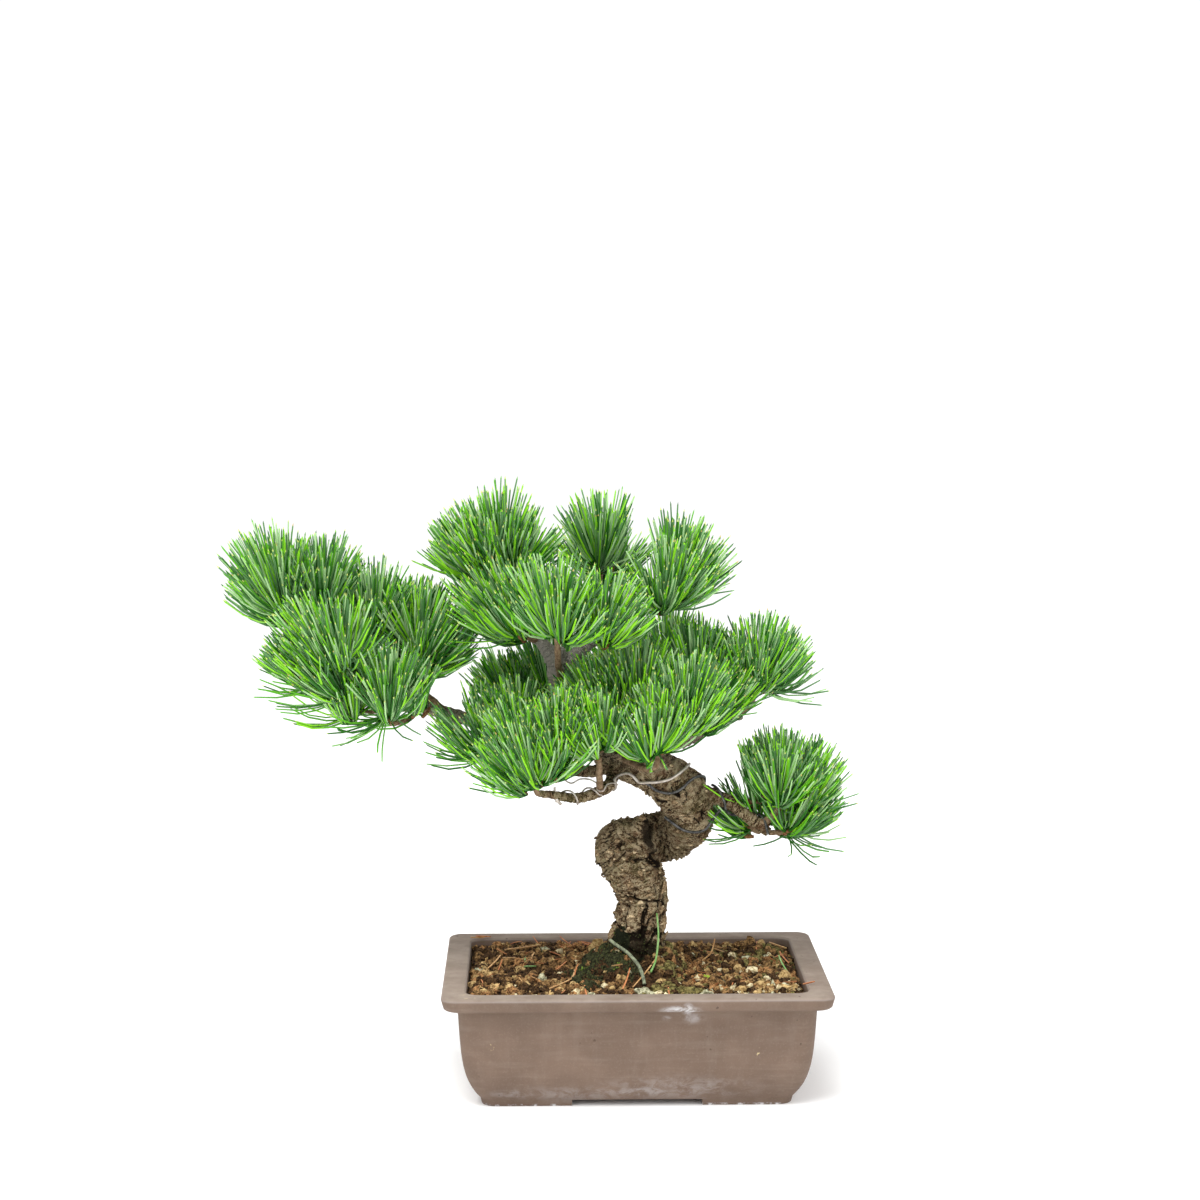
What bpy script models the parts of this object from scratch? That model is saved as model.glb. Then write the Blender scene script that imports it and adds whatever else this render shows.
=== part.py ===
"""Japanese white pine bonsai in its rectangular pot, as separate closed solids.

The table is z = 0 and +Z is up. The tree is looked at from the -Y side, with +X to the
viewer's right. Everything is modelled about the middle of the pot, and an empty then moves
it so that the middle of the whole plant's footprint is the world origin.
"""
import math
import random

import bmesh
import bpy
from mathutils import Vector
from mathutils.bvhtree import BVHTree

MM = 0.001
GAP = 0.3 * MM
UPWARD = Vector((0, 0, 1))

# Where the middle of the pot stands, measured from the middle of the footprint
POT_PLACE = (52.5 * MM, -9.5 * MM)

# The pot: a rectangular tray with a flat rim, tucked in towards four corner feet
POT_WIDTH = 209 * MM
POT_DEPTH = 150 * MM
POT_HEIGHT = 63.5 * MM
RIM_TOP = 13 * MM
RIM_FACE = 7 * MM
RIM_COVE = 2 * MM
RIM_EDGE = 0.9 * MM
RIM_BATTER = 1.3 * MM
CORNER_RADIUS = 8 * MM
CORNER_STEPS = 4
BODY_INSET = 8.6 * MM
BODY_BATTER = 3.0 * MM
BODY_TUCK = 8.6 * MM
TUCK_POWER = 4.5
BODY_STEPS = 7
BODY_CROWDING = 1.6
CAVITY_STEPS = 4
CAVITY_CROWDING = 1.4
WALL = 5 * MM
FLOOR_TOP = 11.5 * MM
FOOT_HEIGHT = 3.5 * MM
FOOT_TAPER = 0.8 * MM
FOOT_WIDTH = 12 * MM
FRONT_FOOT_GAP = 70 * MM
SIDE_FOOT_GAP = 42 * MM

# The soil: level under the trunk, lumpy and a little higher round it, and low along the walls
GROUND = 58.7 * MM
SOIL_EDGE = 58.0 * MM
SOIL_RISE = 1.5 * MM
SOIL_LUMPS = 1.5 * MM
SOIL_CELLS = (20, 14)
SOIL_SHOULDER = 9 * MM
SOIL_LEVEL_REACH = 25 * MM
SOIL_SLOPE_REACH = 37 * MM

# The trunk, in two runs that meet in the crease of its first bend.
# Each entry is x, y, z and radius in millimetres.
TRUNK_FOOT = GROUND + GAP
TRUNK_SIDES = 12
TRUNK_STEPS = 2
LOWER_RUN = (
    (1.2, 1.0, TRUNK_FOOT / MM, 17.0),
    (1.2, 1.0, 66.0, 16.4),
    (1.4, 1.0, 75.0, 16.0),
    (3.2, -1.0, 90.0, 15.3),
    (5.6, -1.0, 100.5, 14.2),
    (2.4, -2.0, 111.0, 15.5),
    (-2.0, -2.5, 121.0, 16.4),
    (-6.0, 1.0, 131.0, 16.0),
    (-0.5, 7.0, 136.0, 12.0),
    (4.0, 11.0, 138.0, 6.0),
)
UPPER_RUN = (
    (-3.0, 6.0, 130.0, 10.0),
    (6.0, 17.0, 131.0, 13.0),
    (16.0, 22.0, 131.0, 14.2),
    (25.0, 19.5, 135.0, 14.7),
    (30.5, 11.5, 142.0, 15.0),
    (31.5, 2.0, 151.0, 15.2),
    (25.0, -5.5, 163.5, 15.0),
    (11.0, -6.5, 172.5, 12.8),
    (-2.0, -2.0, 176.0, 10.2),
    (-16.0, 5.0, 184.0, 8.8),
    (-29.5, 9.0, 198.0, 7.6),
    (-38.5, 8.0, 215.0, 6.9),
    (-42.0, 4.0, 231.0, 6.2),
    (-42.5, 2.0, 240.0, 5.0),
)
FLARE_HEIGHT = 9 * MM
FLARE_WIDTH = 0.3
FLARE_LOBES = 5
FLARE_LOBE_SHARE = 0.35
FLARE_TURN = 0.6
KNOT_DEPTH = 0.05
KNOT_LOBES = (3, 2)
KNOT_TWISTS = (1.7, 0.9)

# Main boughs: the limb each grows from, how far along that limb, the radius at its root
# and tip, and the points that it runs through to its tip, in millimetres
LIMB_SIDES = 8
LIMB_STEPS = 2
MAIN_BOUGHS = {
    "bough_left": ("trunk", 0.735, 5.2, 3.2, ((-60, 13, 192), (-112, 9, 206), (-134, 4, 217))),
    "bough_mid_left": ("trunk", 0.655, 4.4, 2.6, ((-20, -7, 174), (-48, -18, 177))),
    "bough_low_left": ("trunk", 0.62, 4.0, 1.9,
                       ((-14, -12, 167), (-30, -21, 159.5), (-45, -31, 164), (-53, -38, 166))),
    "bough_low_right": ("trunk", 0.47, 4.8, 3.0, ((50, -3, 156), (61, -5, 149), (74, -8, 139))),
    "bough_right": ("trunk", 0.60, 6.2, 3.2, ((30, 3, 191), (45, 7, 201), (60, 4, 203))),
    "bough_top_left": ("trunk", 0.945, 4.2, 2.8, ((-52, 1, 245), (-64, 1, 252))),
    "bough_top_right": ("trunk", 0.925, 4.4, 2.6, ((-24, 4, 243), (-6, 7, 251))),
    "bough_back": ("trunk", 0.82, 4.6, 2.8, ((-30, 28, 201), (-42, 41, 204))),
}

# Foliage masses: the limb each grows from and how far along it, the heart of the mass in
# millimetres, its lean to the right and to the front in degrees, the length of its needles,
# how many side tufts it has, how far out they stand, and the turn of the first of them
MASSES = {
    "top_front": ("trunk", 0.90, (-43, -38, 256), -4, 26, 42, 2, 26, -130),
    "left_hand": ("bough_mid_left", 0.8, (-41, -38, 190), 4, 14, 38, 1, 21, 195),
    "low_left": ("bough_low_left", 1.0, (-57, -46, 171), -30, 12, 39, 1, 15, -40),
    "right_front": ("bough_right", 0.5, (27, -34, 207), 17, 16, 39, 1, 20, -60),
    "front": ("trunk", 0.62, (11, -41, 193), -2, 18, 38, 1, 28, 180),
    "left_front": ("bough_left", 0.90, (-162, -28, 237), -40, 20, 42, 1, 22, -80),
    "left_low": ("bough_left", 0.80, (-134, -24, 207), 2, 22, 39, 2, 23, 200),
    "top_left": ("bough_top_left", 1.0, (-73, 4, 288), -5, 4, 43, 1, 13, 180),
    "top_right": ("bough_top_right", 1.0, (22, 8, 275), 12, 4, 41, 1, 20, 100),
    "top_side": ("bough_top_left", 0.6, (-66, -8, 251), -62, 8, 46, 1, 18, -90),
    "left_end": ("bough_left", 0.98, (-192, 6, 265), -22, 4, 43, 2, 21, -110),
    "left_mid": ("bough_left", 0.86, (-143, 8, 250), 0, 6, 41, 2, 20, -140),
    "left_inner": ("bough_left", 0.70, (-115, 2, 232), 40, 0, 39, 1, 18, -110),
    "side_left": ("bough_mid_left", 1.0, (-82, -8, 188), -36, 4, 38, 1, 20, 0),
    "centre": ("trunk", 0.70, (2, -15, 212), 0, 8, 40, 1, 20, 180),
    "right_mid": ("bough_right", 0.85, (45, 0, 211), 4, 6, 39, 1, 24, -90),
    "right_end": ("bough_right", 0.97, (69, 2, 220), 8, 4, 40, 1, 16, -70),
    "right_low": ("bough_low_right", 0.9, (80, -12, 161), -2, 10, 40, 2, 14, -140),
    "right_low_end": ("bough_low_right", 1.0, (89, -5, 141), 60, 0, 34, 1, 14, -110),
    "right_low_inner": ("bough_low_right", 0.62, (61, 5, 141), -66, -22, 30, 0, 12, -90),
    "top_back": ("bough_top_right", 0.55, (-17, 36, 285), 5, -12, 38, 1, 22, -90),
    "back_left": ("bough_back", 1.0, (-47, 46, 209), -6, -28, 40, 2, 20, 180),
    "back_right": ("bough_back", 0.6, (22, 46, 219), 4, -22, 42, 2, 24, -160),
}

# How every mass grows from its bough
STEM_LENGTH = 8 * MM
STEM_RADIUS = 1.5 * MM
STEM_START = 2.5 * MM
BOUGH_ROOT = 2.4 * MM
BOUGH_ROOT_SHARE = 0.8
BOUGH_SIDES = 6
BOUGH_STEPS = 6
BOUGH_LEAVE = 0.3
BOUGH_ARRIVE = 0.3
FORK_BACK = 4 * MM
TWIG_RADIUS = 1.1 * MM
TWIG_TIP = 0.9 * MM
SIDE_STEP = math.radians(120)
SIDE_DROP = 0.28
SIDE_SPLAY = 0.5
SIDE_NEEDLES = 0.87
HEART_JITTER = 1.2 * MM
BUD_RADIUS = 3.4 * MM
BUD_LENGTH = 4.5 * MM
BUD_SIDES = 5
BUD_RINGS = ((-1.0, 0.45), (-0.3, 1.0), (0.5, 0.85), (1.0, 0.2))

# Sprays of needles: toothed blades set round each bud on a spiral
SPRAYS = 6
SPRAY_SPREAD = math.radians(60)
SPRAY_FAN = math.radians(20)
SPRAY_VALLEY = 0.66
SPRAY_THICKNESS = 0.7 * MM
SPRAY_ROOT = 0.75 * MM
SPRAY_START = 2.1 * MM
SPRAY_SIDE_TOOTH = 0.93
SPRAY_BEND = 0.2
SPRAY_ROLL = math.radians(30)
SPRAY_TURNS = (0.0, math.radians(50), math.radians(-50), math.radians(90))
SPRAY_LENGTHS = (0.92, 1.04)
GOLDEN_ANGLE = math.pi * (3 - math.sqrt(5))


def clear_scene():
    for old in list(bpy.data.objects):
        bpy.data.objects.remove(old, do_unlink=True)


def material(name, colour, roughness, metallic=0.0):
    made = bpy.data.materials.new(name)
    made.use_nodes = True
    surface = made.node_tree.nodes["Principled BSDF"]
    surface.inputs["Base Color"].default_value = (*colour, 1.0)
    surface.inputs["Roughness"].default_value = roughness
    surface.inputs["Metallic"].default_value = metallic
    return made


def make_object(name, verts, faces, surface=None):
    mesh = bpy.data.meshes.new(name)
    mesh.from_pydata([tuple(v) for v in verts], [], faces)
    mesh.validate()
    made = bpy.data.objects.new(name, mesh)
    bpy.context.scene.collection.objects.link(made)
    if surface:
        mesh.materials.append(surface)
    return made


def loft(rings):
    """One closed surface through rings of equal length, capped at both ends."""
    count = len(rings[0])
    verts = [point for ring in rings for point in ring]
    faces = [tuple(reversed(range(count)))]
    for row in range(len(rings) - 1):
        low = row * count
        for k in range(count):
            nxt = (k + 1) % count
            faces.append((low + k, low + nxt, low + count + nxt, low + count + k))
    last = (len(rings) - 1) * count
    faces.append(tuple(range(last, last + count)))
    return verts, faces


def evaluated_mesh(source):
    graph = bpy.context.evaluated_depsgraph_get()
    return bpy.data.meshes.new_from_object(source.evaluated_get(graph))


def apply_modifiers(target):
    """Replace the object's mesh by what its modifiers make of it."""
    result = evaluated_mesh(target)
    target.modifiers.clear()
    target.data = result


def combine(target, tools, operation):
    """Apply one Boolean of the target with a collection, then remove the collection."""
    group = bpy.data.collections.new(target.name + "_tools")
    bpy.context.scene.collection.children.link(group)
    for tool in tools:
        bpy.context.scene.collection.objects.unlink(tool)
        group.objects.link(tool)
    boolean = target.modifiers.new("Combine", "BOOLEAN")
    boolean.operation = operation
    boolean.operand_type = "COLLECTION"
    boolean.collection = group
    boolean.solver = "EXACT"
    apply_modifiers(target)
    for tool in tools:
        bpy.data.objects.remove(tool, do_unlink=True)
    bpy.data.collections.remove(group)


def keep_outer_shell(target):
    """Drop loose scraps, and fill sealed hollows by dropping their inner shells."""
    shape = bmesh.new()
    shape.from_mesh(target.data)
    shells = []
    unseen = set(shape.verts)
    while unseen:
        shell = [unseen.pop()]
        for vert in shell:
            for edge in vert.link_edges:
                other = edge.other_vert(vert)
                if other in unseen:
                    unseen.remove(other)
                    shell.append(other)
        shells.append(shell)
    shells.sort(key=span_of)
    scraps = [vert for shell in shells[:-1] for vert in shell]
    bmesh.ops.delete(shape, geom=scraps, context="VERTS")
    shape.to_mesh(target.data)
    shape.free()


def span_of(shell):
    """Length of the diagonal of the box round some vertices."""
    low = Vector([min(vert.co[axis] for vert in shell) for axis in range(3)])
    high = Vector([max(vert.co[axis] for vert in shell) for axis in range(3)])
    return (high - low).length


def surface_tree(target):
    """Search tree of an object's faces, to find what would touch it."""
    mesh = target.data
    return BVHTree.FromPolygons([v.co for v in mesh.vertices], [p.vertices for p in mesh.polygons])


# Pot and soil

def pot_ring(inset, height):
    """Rounded rectangle at one height, this far inside the rim's outer edge."""
    half_width = POT_WIDTH / 2 - inset - CORNER_RADIUS
    half_depth = POT_DEPTH / 2 - inset - CORNER_RADIUS
    ring = []
    for corner in range(4):
        middle_x = half_width * (1 if corner in (0, 3) else -1)
        middle_y = half_depth * (1 if corner in (0, 1) else -1)
        for step in range(CORNER_STEPS + 1):
            angle = (corner + step / CORNER_STEPS) * math.pi / 2
            x = middle_x + CORNER_RADIUS * math.cos(angle)
            y = middle_y + CORNER_RADIUS * math.sin(angle)
            ring.append(Vector((x, y, height)))
    return ring


def body_inset(height):
    """How far the pot's outer wall stands inside the rim: battered, then tucked in."""
    top = POT_HEIGHT - RIM_FACE - RIM_COVE
    part = (top - height) / (top - FOOT_HEIGHT)
    return BODY_INSET + BODY_BATTER * part + BODY_TUCK * part ** TUCK_POWER


def cavity_rings(clearance):
    """Inner wall of the pot from the floor up, or the soil's side at a clearance from it."""
    top = POT_HEIGHT - RIM_FACE - RIM_COVE
    floor = FLOOR_TOP + clearance
    rings = []
    for step in range(CAVITY_STEPS + 1):
        height = floor + (top - floor) * (step / CAVITY_STEPS) ** CAVITY_CROWDING
        rings.append(pot_ring(body_inset(height) + WALL + clearance, height))
    return rings


def build_pot(surface):
    rings = [pot_ring(body_inset(FOOT_HEIGHT) + FOOT_TAPER, 0.0)]
    top = POT_HEIGHT - RIM_FACE - RIM_COVE
    for step in range(BODY_STEPS + 1):
        height = FOOT_HEIGHT + (top - FOOT_HEIGHT) * (step / BODY_STEPS) ** BODY_CROWDING
        rings.append(pot_ring(body_inset(height), height))
    rim_bottom = POT_HEIGHT - RIM_FACE
    rings.append(pot_ring(RIM_BATTER + RIM_EDGE, rim_bottom))
    rings.append(pot_ring(RIM_BATTER, rim_bottom + RIM_EDGE))
    rings.append(pot_ring(0.0, POT_HEIGHT - RIM_EDGE))
    rings.append(pot_ring(RIM_EDGE, POT_HEIGHT))
    rings.append(pot_ring(RIM_TOP - RIM_EDGE, POT_HEIGHT))
    rings.append(pot_ring(RIM_TOP, POT_HEIGHT - RIM_EDGE))
    rings.extend(reversed(cavity_rings(0.0)))
    pot = make_object("pot", *loft(rings), surface)
    combine(pot, [underside_cutter()], "DIFFERENCE")
    return pot


def underside_cutter():
    """A cross-shaped block whose removal leaves four L-shaped corner feet."""
    inset = body_inset(FOOT_HEIGHT) + FOOT_TAPER
    pocket_x = POT_WIDTH / 2 - inset - FOOT_WIDTH
    pocket_y = POT_DEPTH / 2 - inset - FOOT_WIDTH
    reach_x = POT_WIDTH / 2
    reach_y = POT_DEPTH / 2
    gap_x = FRONT_FOOT_GAP / 2
    gap_y = SIDE_FOOT_GAP / 2
    quarter = [(reach_x, gap_y), (pocket_x, gap_y), (pocket_x, pocket_y)]
    quarter += [(gap_x, pocket_y), (gap_x, reach_y)]
    outline = list(quarter)
    outline += [(-x, y) for x, y in reversed(quarter)]
    outline += [(-x, -y) for x, y in quarter]
    outline += [(x, -y) for x, y in reversed(quarter)]
    levels = (-FOOT_HEIGHT, FOOT_HEIGHT)
    rings = [[Vector((x, y, height)) for x, y in outline] for height in levels]
    return make_object("underside_cutter", *loft(rings))


def soil_height(place, half_width, half_depth, chance):
    """Level near the trunk's foot, lumpy further out, and lower by the walls."""
    foot = Vector(LOWER_RUN[0][:2]) * MM
    slope = ((place - foot).length - SOIL_LEVEL_REACH) / (SOIL_SLOPE_REACH - SOIL_LEVEL_REACH)
    away = min(max(slope, 0.0), 1.0)
    level = GROUND + away * (SOIL_RISE + SOIL_LUMPS * chance.uniform(-1, 1))
    inward = min(half_width - abs(place.x), half_depth - abs(place.y))
    shoulder = min(max(inward / SOIL_SHOULDER, 0.0), 1.0)
    return SOIL_EDGE + (level - SOIL_EDGE) * shoulder


def soil_block(half_width):
    """A block whose top is the uneven surface of the soil."""
    chance = random.Random("soil")
    half_depth = half_width + (POT_DEPTH - POT_WIDTH) / 2
    shape = bmesh.new()
    bmesh.ops.create_grid(shape, x_segments=SOIL_CELLS[0], y_segments=SOIL_CELLS[1], size=1)
    for vert in shape.verts:
        place = Vector((vert.co.x * (half_width + GAP), vert.co.y * (half_depth + GAP)))
        vert.co = (*place, soil_height(place, half_width, half_depth, chance))
    bmesh.ops.triangulate(shape, faces=shape.faces[:])
    top = shape.faces[:] + shape.edges[:]
    under = bmesh.ops.extrude_face_region(shape, geom=top, use_keep_orig=True)["geom"]
    for item in under:
        if isinstance(item, bmesh.types.BMVert):
            item.co.z = 0.0
    bmesh.ops.recalc_face_normals(shape, faces=shape.faces[:])
    made = make_object("soil_block", [], [])
    shape.to_mesh(made.data)
    shape.free()
    return made


def build_soil(surface):
    rings = cavity_rings(GAP)
    edge = rings[-1][0].x
    rings.append(pot_ring(POT_WIDTH / 2 - edge, POT_HEIGHT))
    soil = make_object("soil", *loft(rings), surface)
    combine(soil, [soil_block(edge)], "INTERSECT")
    return soil


# Limbs

class Limb:
    """A round, tapering limb along a smooth path, with a radius at every point."""

    def __init__(self, points, radii, sides):
        self.points = points
        self.radii = radii
        self.sides = sides

    def at(self, place):
        """Point, direction and radius at a part of the way along, from 0 to 1."""
        steps = [(b - a).length for a, b in zip(self.points, self.points[1:])]
        left = place * sum(steps)
        k = 0
        while k < len(steps) - 1 and left > steps[k]:
            left -= steps[k]
            k += 1
        part = min(left / steps[k], 1.0)
        point = self.points[k].lerp(self.points[k + 1], part)
        direction = (self.points[k + 1] - self.points[k]).normalized()
        radius = self.radii[k] + (self.radii[k + 1] - self.radii[k]) * part
        return point, direction, radius

    def solid(self, name, extra=0.0, surface=None, shape=None):
        """Closed tube of the limb, or of a guard that is thicker and longer by an extra."""
        points = list(self.points)
        points[-1] = points[-1] + (points[-1] - points[-2]).normalized() * extra
        rings = tube_rings(points, [r + extra for r in self.radii], self.sides, shape)
        return make_object(name, *loft(rings), surface)


def tube_rings(points, radii, sides, shape=None):
    """Rings across a path, carried along it without twisting."""
    rings = []
    across = None
    for k, point in enumerate(points):
        before = points[max(k - 1, 0)]
        after = points[min(k + 1, len(points) - 1)]
        along = (after - before).normalized()
        if across is None:
            guess = Vector((0, 1, 0)) if abs(along.y) < 0.9 else Vector((1, 0, 0))
            across = guess.cross(along).normalized()
        across = (across - along * across.dot(along)).normalized()
        other = along.cross(across)
        ring = []
        for side in range(sides):
            angle = 2 * math.pi * side / sides
            radius = radii[k] * (shape(k, angle, point) if shape else 1.0)
            ring.append(point + (across * math.cos(angle) + other * math.sin(angle)) * radius)
        rings.append(ring)
    return rings


def smooth(stations, steps):
    """Points of a Catmull-Rom curve through stations of any number of values."""
    path = []
    last = len(stations) - 1
    for k in range(last):
        a, b, c, d = (stations[min(max(k + shift, 0), last)] for shift in (-1, 0, 1, 2))
        for step in range(steps):
            t = step / steps
            values = []
            for p, q, r, s in zip(a, b, c, d):
                curve = (2 * p - 5 * q + 4 * r - s) * t * t + (3 * q - p - 3 * r + s) * t ** 3
                values.append(q + 0.5 * ((r - p) * t + curve))
            path.append(values)
    path.append(list(stations[-1]))
    return path


def limb_through(stations, sides, steps):
    path = smooth(stations, steps)
    points = [Vector(values[:3]) * MM for values in path]
    return Limb(points, [values[3] * MM for values in path], sides)


def trunk_shape(ring, angle, point):
    """Root flare at the foot, and a slight knobbliness all the way up."""
    height = point.z - TRUNK_FOOT
    flare = FLARE_WIDTH * math.exp(-height / FLARE_HEIGHT)
    lobes = 1 - FLARE_LOBE_SHARE + FLARE_LOBE_SHARE * math.cos(FLARE_LOBES * angle + FLARE_TURN)
    knots = math.sin(KNOT_LOBES[0] * angle + KNOT_TWISTS[0] * ring)
    knots *= math.cos(KNOT_LOBES[1] * angle - KNOT_TWISTS[1] * ring)
    return 1 + flare * lobes + KNOT_DEPTH * knots * min(height / FLARE_HEIGHT, 1.0)


def build_trunk(surface):
    """The trunk as one solid, and a slightly stouter copy that boughs are cut back from."""
    lower = limb_through(LOWER_RUN, TRUNK_SIDES, TRUNK_STEPS)
    upper = limb_through(UPPER_RUN, TRUNK_SIDES, TRUNK_STEPS)
    trunk = lower.solid("trunk", 0.0, surface, trunk_shape)
    combine(trunk, [upper.solid("trunk_upper_run", 0.0, None, trunk_shape)], "UNION")
    keep_outer_shell(trunk)
    stout = [lower.solid("trunk_lower_guard", GAP, None, trunk_shape)]
    stout.append(upper.solid("trunk_upper_guard", GAP, None, trunk_shape))
    return trunk, upper, stout


def cut_back(bough, guards):
    """Cut a bough's root to the surface that it grows from, with the gap between them."""
    combine(bough, [copy_of(guard) for guard in guards], "DIFFERENCE")
    keep_outer_shell(bough)


def copy_of(source):
    twin = bpy.data.objects.new(source.name + "_copy", source.data)
    bpy.context.scene.collection.objects.link(twin)
    return twin


def main_bough(parent, place, root_radius, tip_radius, through):
    """A main bough from its parent's middle line through its own points."""
    start = parent.at(place)[0] / MM
    stations = [tuple(start)] + [tuple(point) for point in through]
    last = len(stations) - 1
    radii = [root_radius + (tip_radius - root_radius) * k / last for k in range(last + 1)]
    stations = [(*point, radius) for point, radius in zip(stations, radii)]
    return limb_through(stations, LIMB_SIDES, LIMB_STEPS)


# Foliage

def lean_axes(right, front):
    """The way a mass leans, and the two directions square to it: across and to the front."""
    r = math.radians(right)
    f = math.radians(front)
    lean = Vector((math.sin(r) * math.cos(f), -math.sin(f), math.cos(r) * math.cos(f)))
    across = Vector((math.cos(r), 0, -math.sin(r)))
    return lean, across, across.cross(lean)


def tufts_of(name, heart, right, front, needle, sides, spread, turn):
    """The tufts of one mass: a leader at its heart, and side tufts lower down round it."""
    chance = random.Random(name)
    lean, across, toward = lean_axes(right, front)
    heart = Vector(heart) * MM
    needle = needle * MM
    spread = spread * MM
    tufts = [(heart, lean, needle)]
    for side in range(sides):
        angle = math.radians(turn) + side * SIDE_STEP
        out = across * math.cos(angle) + toward * math.sin(angle)
        base = heart + out * spread - lean * spread * SIDE_DROP
        base += Vector([chance.uniform(-1, 1) for axis in range(3)]) * HEART_JITTER
        tufts.append((base, (lean + out * SIDE_SPLAY).normalized(), needle * SIDE_NEEDLES))
    return tufts


def small_bough(parent, place, heart, lean):
    """A bough from its parent's middle line, turning into the foot of a mass along its lean."""
    start, direction, radius = parent.at(place)
    tip = heart - lean * STEM_LENGTH
    leave = start.lerp(tip, BOUGH_LEAVE)
    arrive = tip - lean * (tip - start).length * BOUGH_ARRIVE
    root = min(BOUGH_ROOT, radius * BOUGH_ROOT_SHARE)
    points = []
    radii = []
    for step in range(BOUGH_STEPS + 1):
        t = step / BOUGH_STEPS
        early = start * (1 - t) ** 3 + leave * 3 * t * (1 - t) ** 2
        points.append(early + arrive * 3 * t * t * (1 - t) + tip * t ** 3)
        radii.append(root + (STEM_RADIUS - root) * t)
    return Limb(points, radii, BOUGH_SIDES)


def twig(points, thick, thin):
    """Three-sided twig through a few points, as vertices and faces."""
    last = len(points) - 1
    radii = [thick + (thin - thick) * k / last for k in range(last + 1)]
    return loft(tube_rings(points, radii, 3))


def bud(base, axis):
    """Slim core of a tuft, which its sprays are rooted in."""
    points = [base + axis * BUD_LENGTH * reach for reach, share in BUD_RINGS]
    radii = [BUD_RADIUS * share for reach, share in BUD_RINGS]
    return loft(tube_rings(points, radii, BUD_SIDES))


def spray_blade(root, along, across, length, extra=0.0):
    """Toothed blade of three needles. A point's reach and angle become its place."""
    thickness = SPRAY_THICKNESS / 2 + extra
    face = along.cross(across).normalized()

    def place(angle, reach):
        way = along * math.cos(angle) + across * math.sin(angle)
        return root + way * reach * length + UPWARD * SPRAY_BEND * length * reach ** 2

    valleys = [place(-SPRAY_FAN / 2, SPRAY_VALLEY), place(SPRAY_FAN / 2, SPRAY_VALLEY)]
    rims = [root - across * SPRAY_ROOT, valleys[0], valleys[1], root + across * SPRAY_ROOT]
    verts = [point + face * thickness for point in rims]
    verts += [point - face * thickness for point in rims]
    verts.append(place(-SPRAY_FAN, SPRAY_SIDE_TOOTH))
    verts.append(place(0.0, 1.0))
    verts.append(place(SPRAY_FAN, SPRAY_SIDE_TOOTH))
    left, middle, right = 8, 9, 10
    faces = [(0, 1, left), (0, 3, 1), (1, 3, 2), (1, 2, middle), (2, 3, right)]
    faces += [(a + 4 if a < 4 else a, c + 4 if c < 4 else c, b + 4 if b < 4 else b) for a, b, c in faces]
    faces += [(0, left, 4), (left, 1, 5), (1, middle, 5), (middle, 2, 6), (2, right, 6), (right, 3, 7)]
    faces += [(4, left, 5), (5, middle, 6), (6, right, 7), (0, 4, 7, 3)]
    return verts, faces


def spray_places(name, tuft, base, axis, needle):
    """Root, direction, width direction and length of each spray, spread evenly over a tuft."""
    chance = random.Random(f"{name} {tuft}")
    side = axis.orthogonal().normalized()
    other = axis.cross(side)
    phase = chance.uniform(0, 2 * math.pi)
    for spray in range(SPRAYS):
        height = 1 - spray / (SPRAYS - 1) * (1 - math.cos(SPRAY_SPREAD))
        polar = math.acos(height)
        angle = phase + spray * GOLDEN_ANGLE
        out = side * math.cos(angle) + other * math.sin(angle)
        along = axis * math.cos(polar) + out * math.sin(polar)
        roll = chance.uniform(-SPRAY_ROLL, SPRAY_ROLL)
        length = needle * chance.uniform(*SPRAY_LENGTHS)
        yield base + along * SPRAY_START, along, turned(axis.cross(out), along, roll), length


def turned(across, along, angle):
    return across * math.cos(angle) + along.cross(across) * math.sin(angle)


def touches(shape, taken):
    tree = BVHTree.FromPolygons(*shape)
    return any(tree.overlap(other) for other in taken)


def grow_wood(foot, way, tufts, taken):
    """Stem, twigs and buds of one mass, without the side tufts that would touch something."""
    fork = tufts[0][0] - tufts[0][1] * FORK_BACK
    wood = [twig([foot + way * GAP, foot + way * STEM_START, fork], STEM_RADIUS, TWIG_RADIUS)]
    kept = []
    for tuft in tufts:
        base, axis, needle = tuft
        shoot = twig([fork, fork.lerp(base, 0.5), base], TWIG_RADIUS, TWIG_TIP)
        heart = bud(base, axis)
        if not kept:
            wood.append(heart)
            kept.append(tuft)
        elif not touches(shoot, taken) and not touches(heart, taken):
            wood += [shoot, heart]
            kept.append(tuft)
    return wood, kept


def grow_sprays(name, tufts, taken):
    """The sprays of one mass that find room, each turned on its length until it fits."""
    sprays = []
    earlier = []
    for number, tuft in enumerate(tufts):
        fresh = []
        for root, along, across, length in spray_places(name, number, *tuft):
            for turn in SPRAY_TURNS:
                flat = turned(across, along, turn)
                guard = spray_blade(root, along, flat, length, GAP)
                blade = spray_blade(root, along, flat, length)
                if not touches(guard, taken) and not touches(blade, earlier):
                    fresh.append(blade)
                    break
        earlier += [BVHTree.FromPolygons(*blade) for blade in fresh]
        sprays += fresh
    return sprays


def build_mass(name, wood, sprays, surface):
    """One mass as a single solid."""
    parts = [make_object(name, *wood[0], surface)]
    parts += [make_object(f"{name}_part", *shape) for shape in wood[1:] + sprays]
    combine(parts[0], parts[1:], "UNION")
    keep_outer_shell(parts[0])
    return parts[0]


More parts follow.
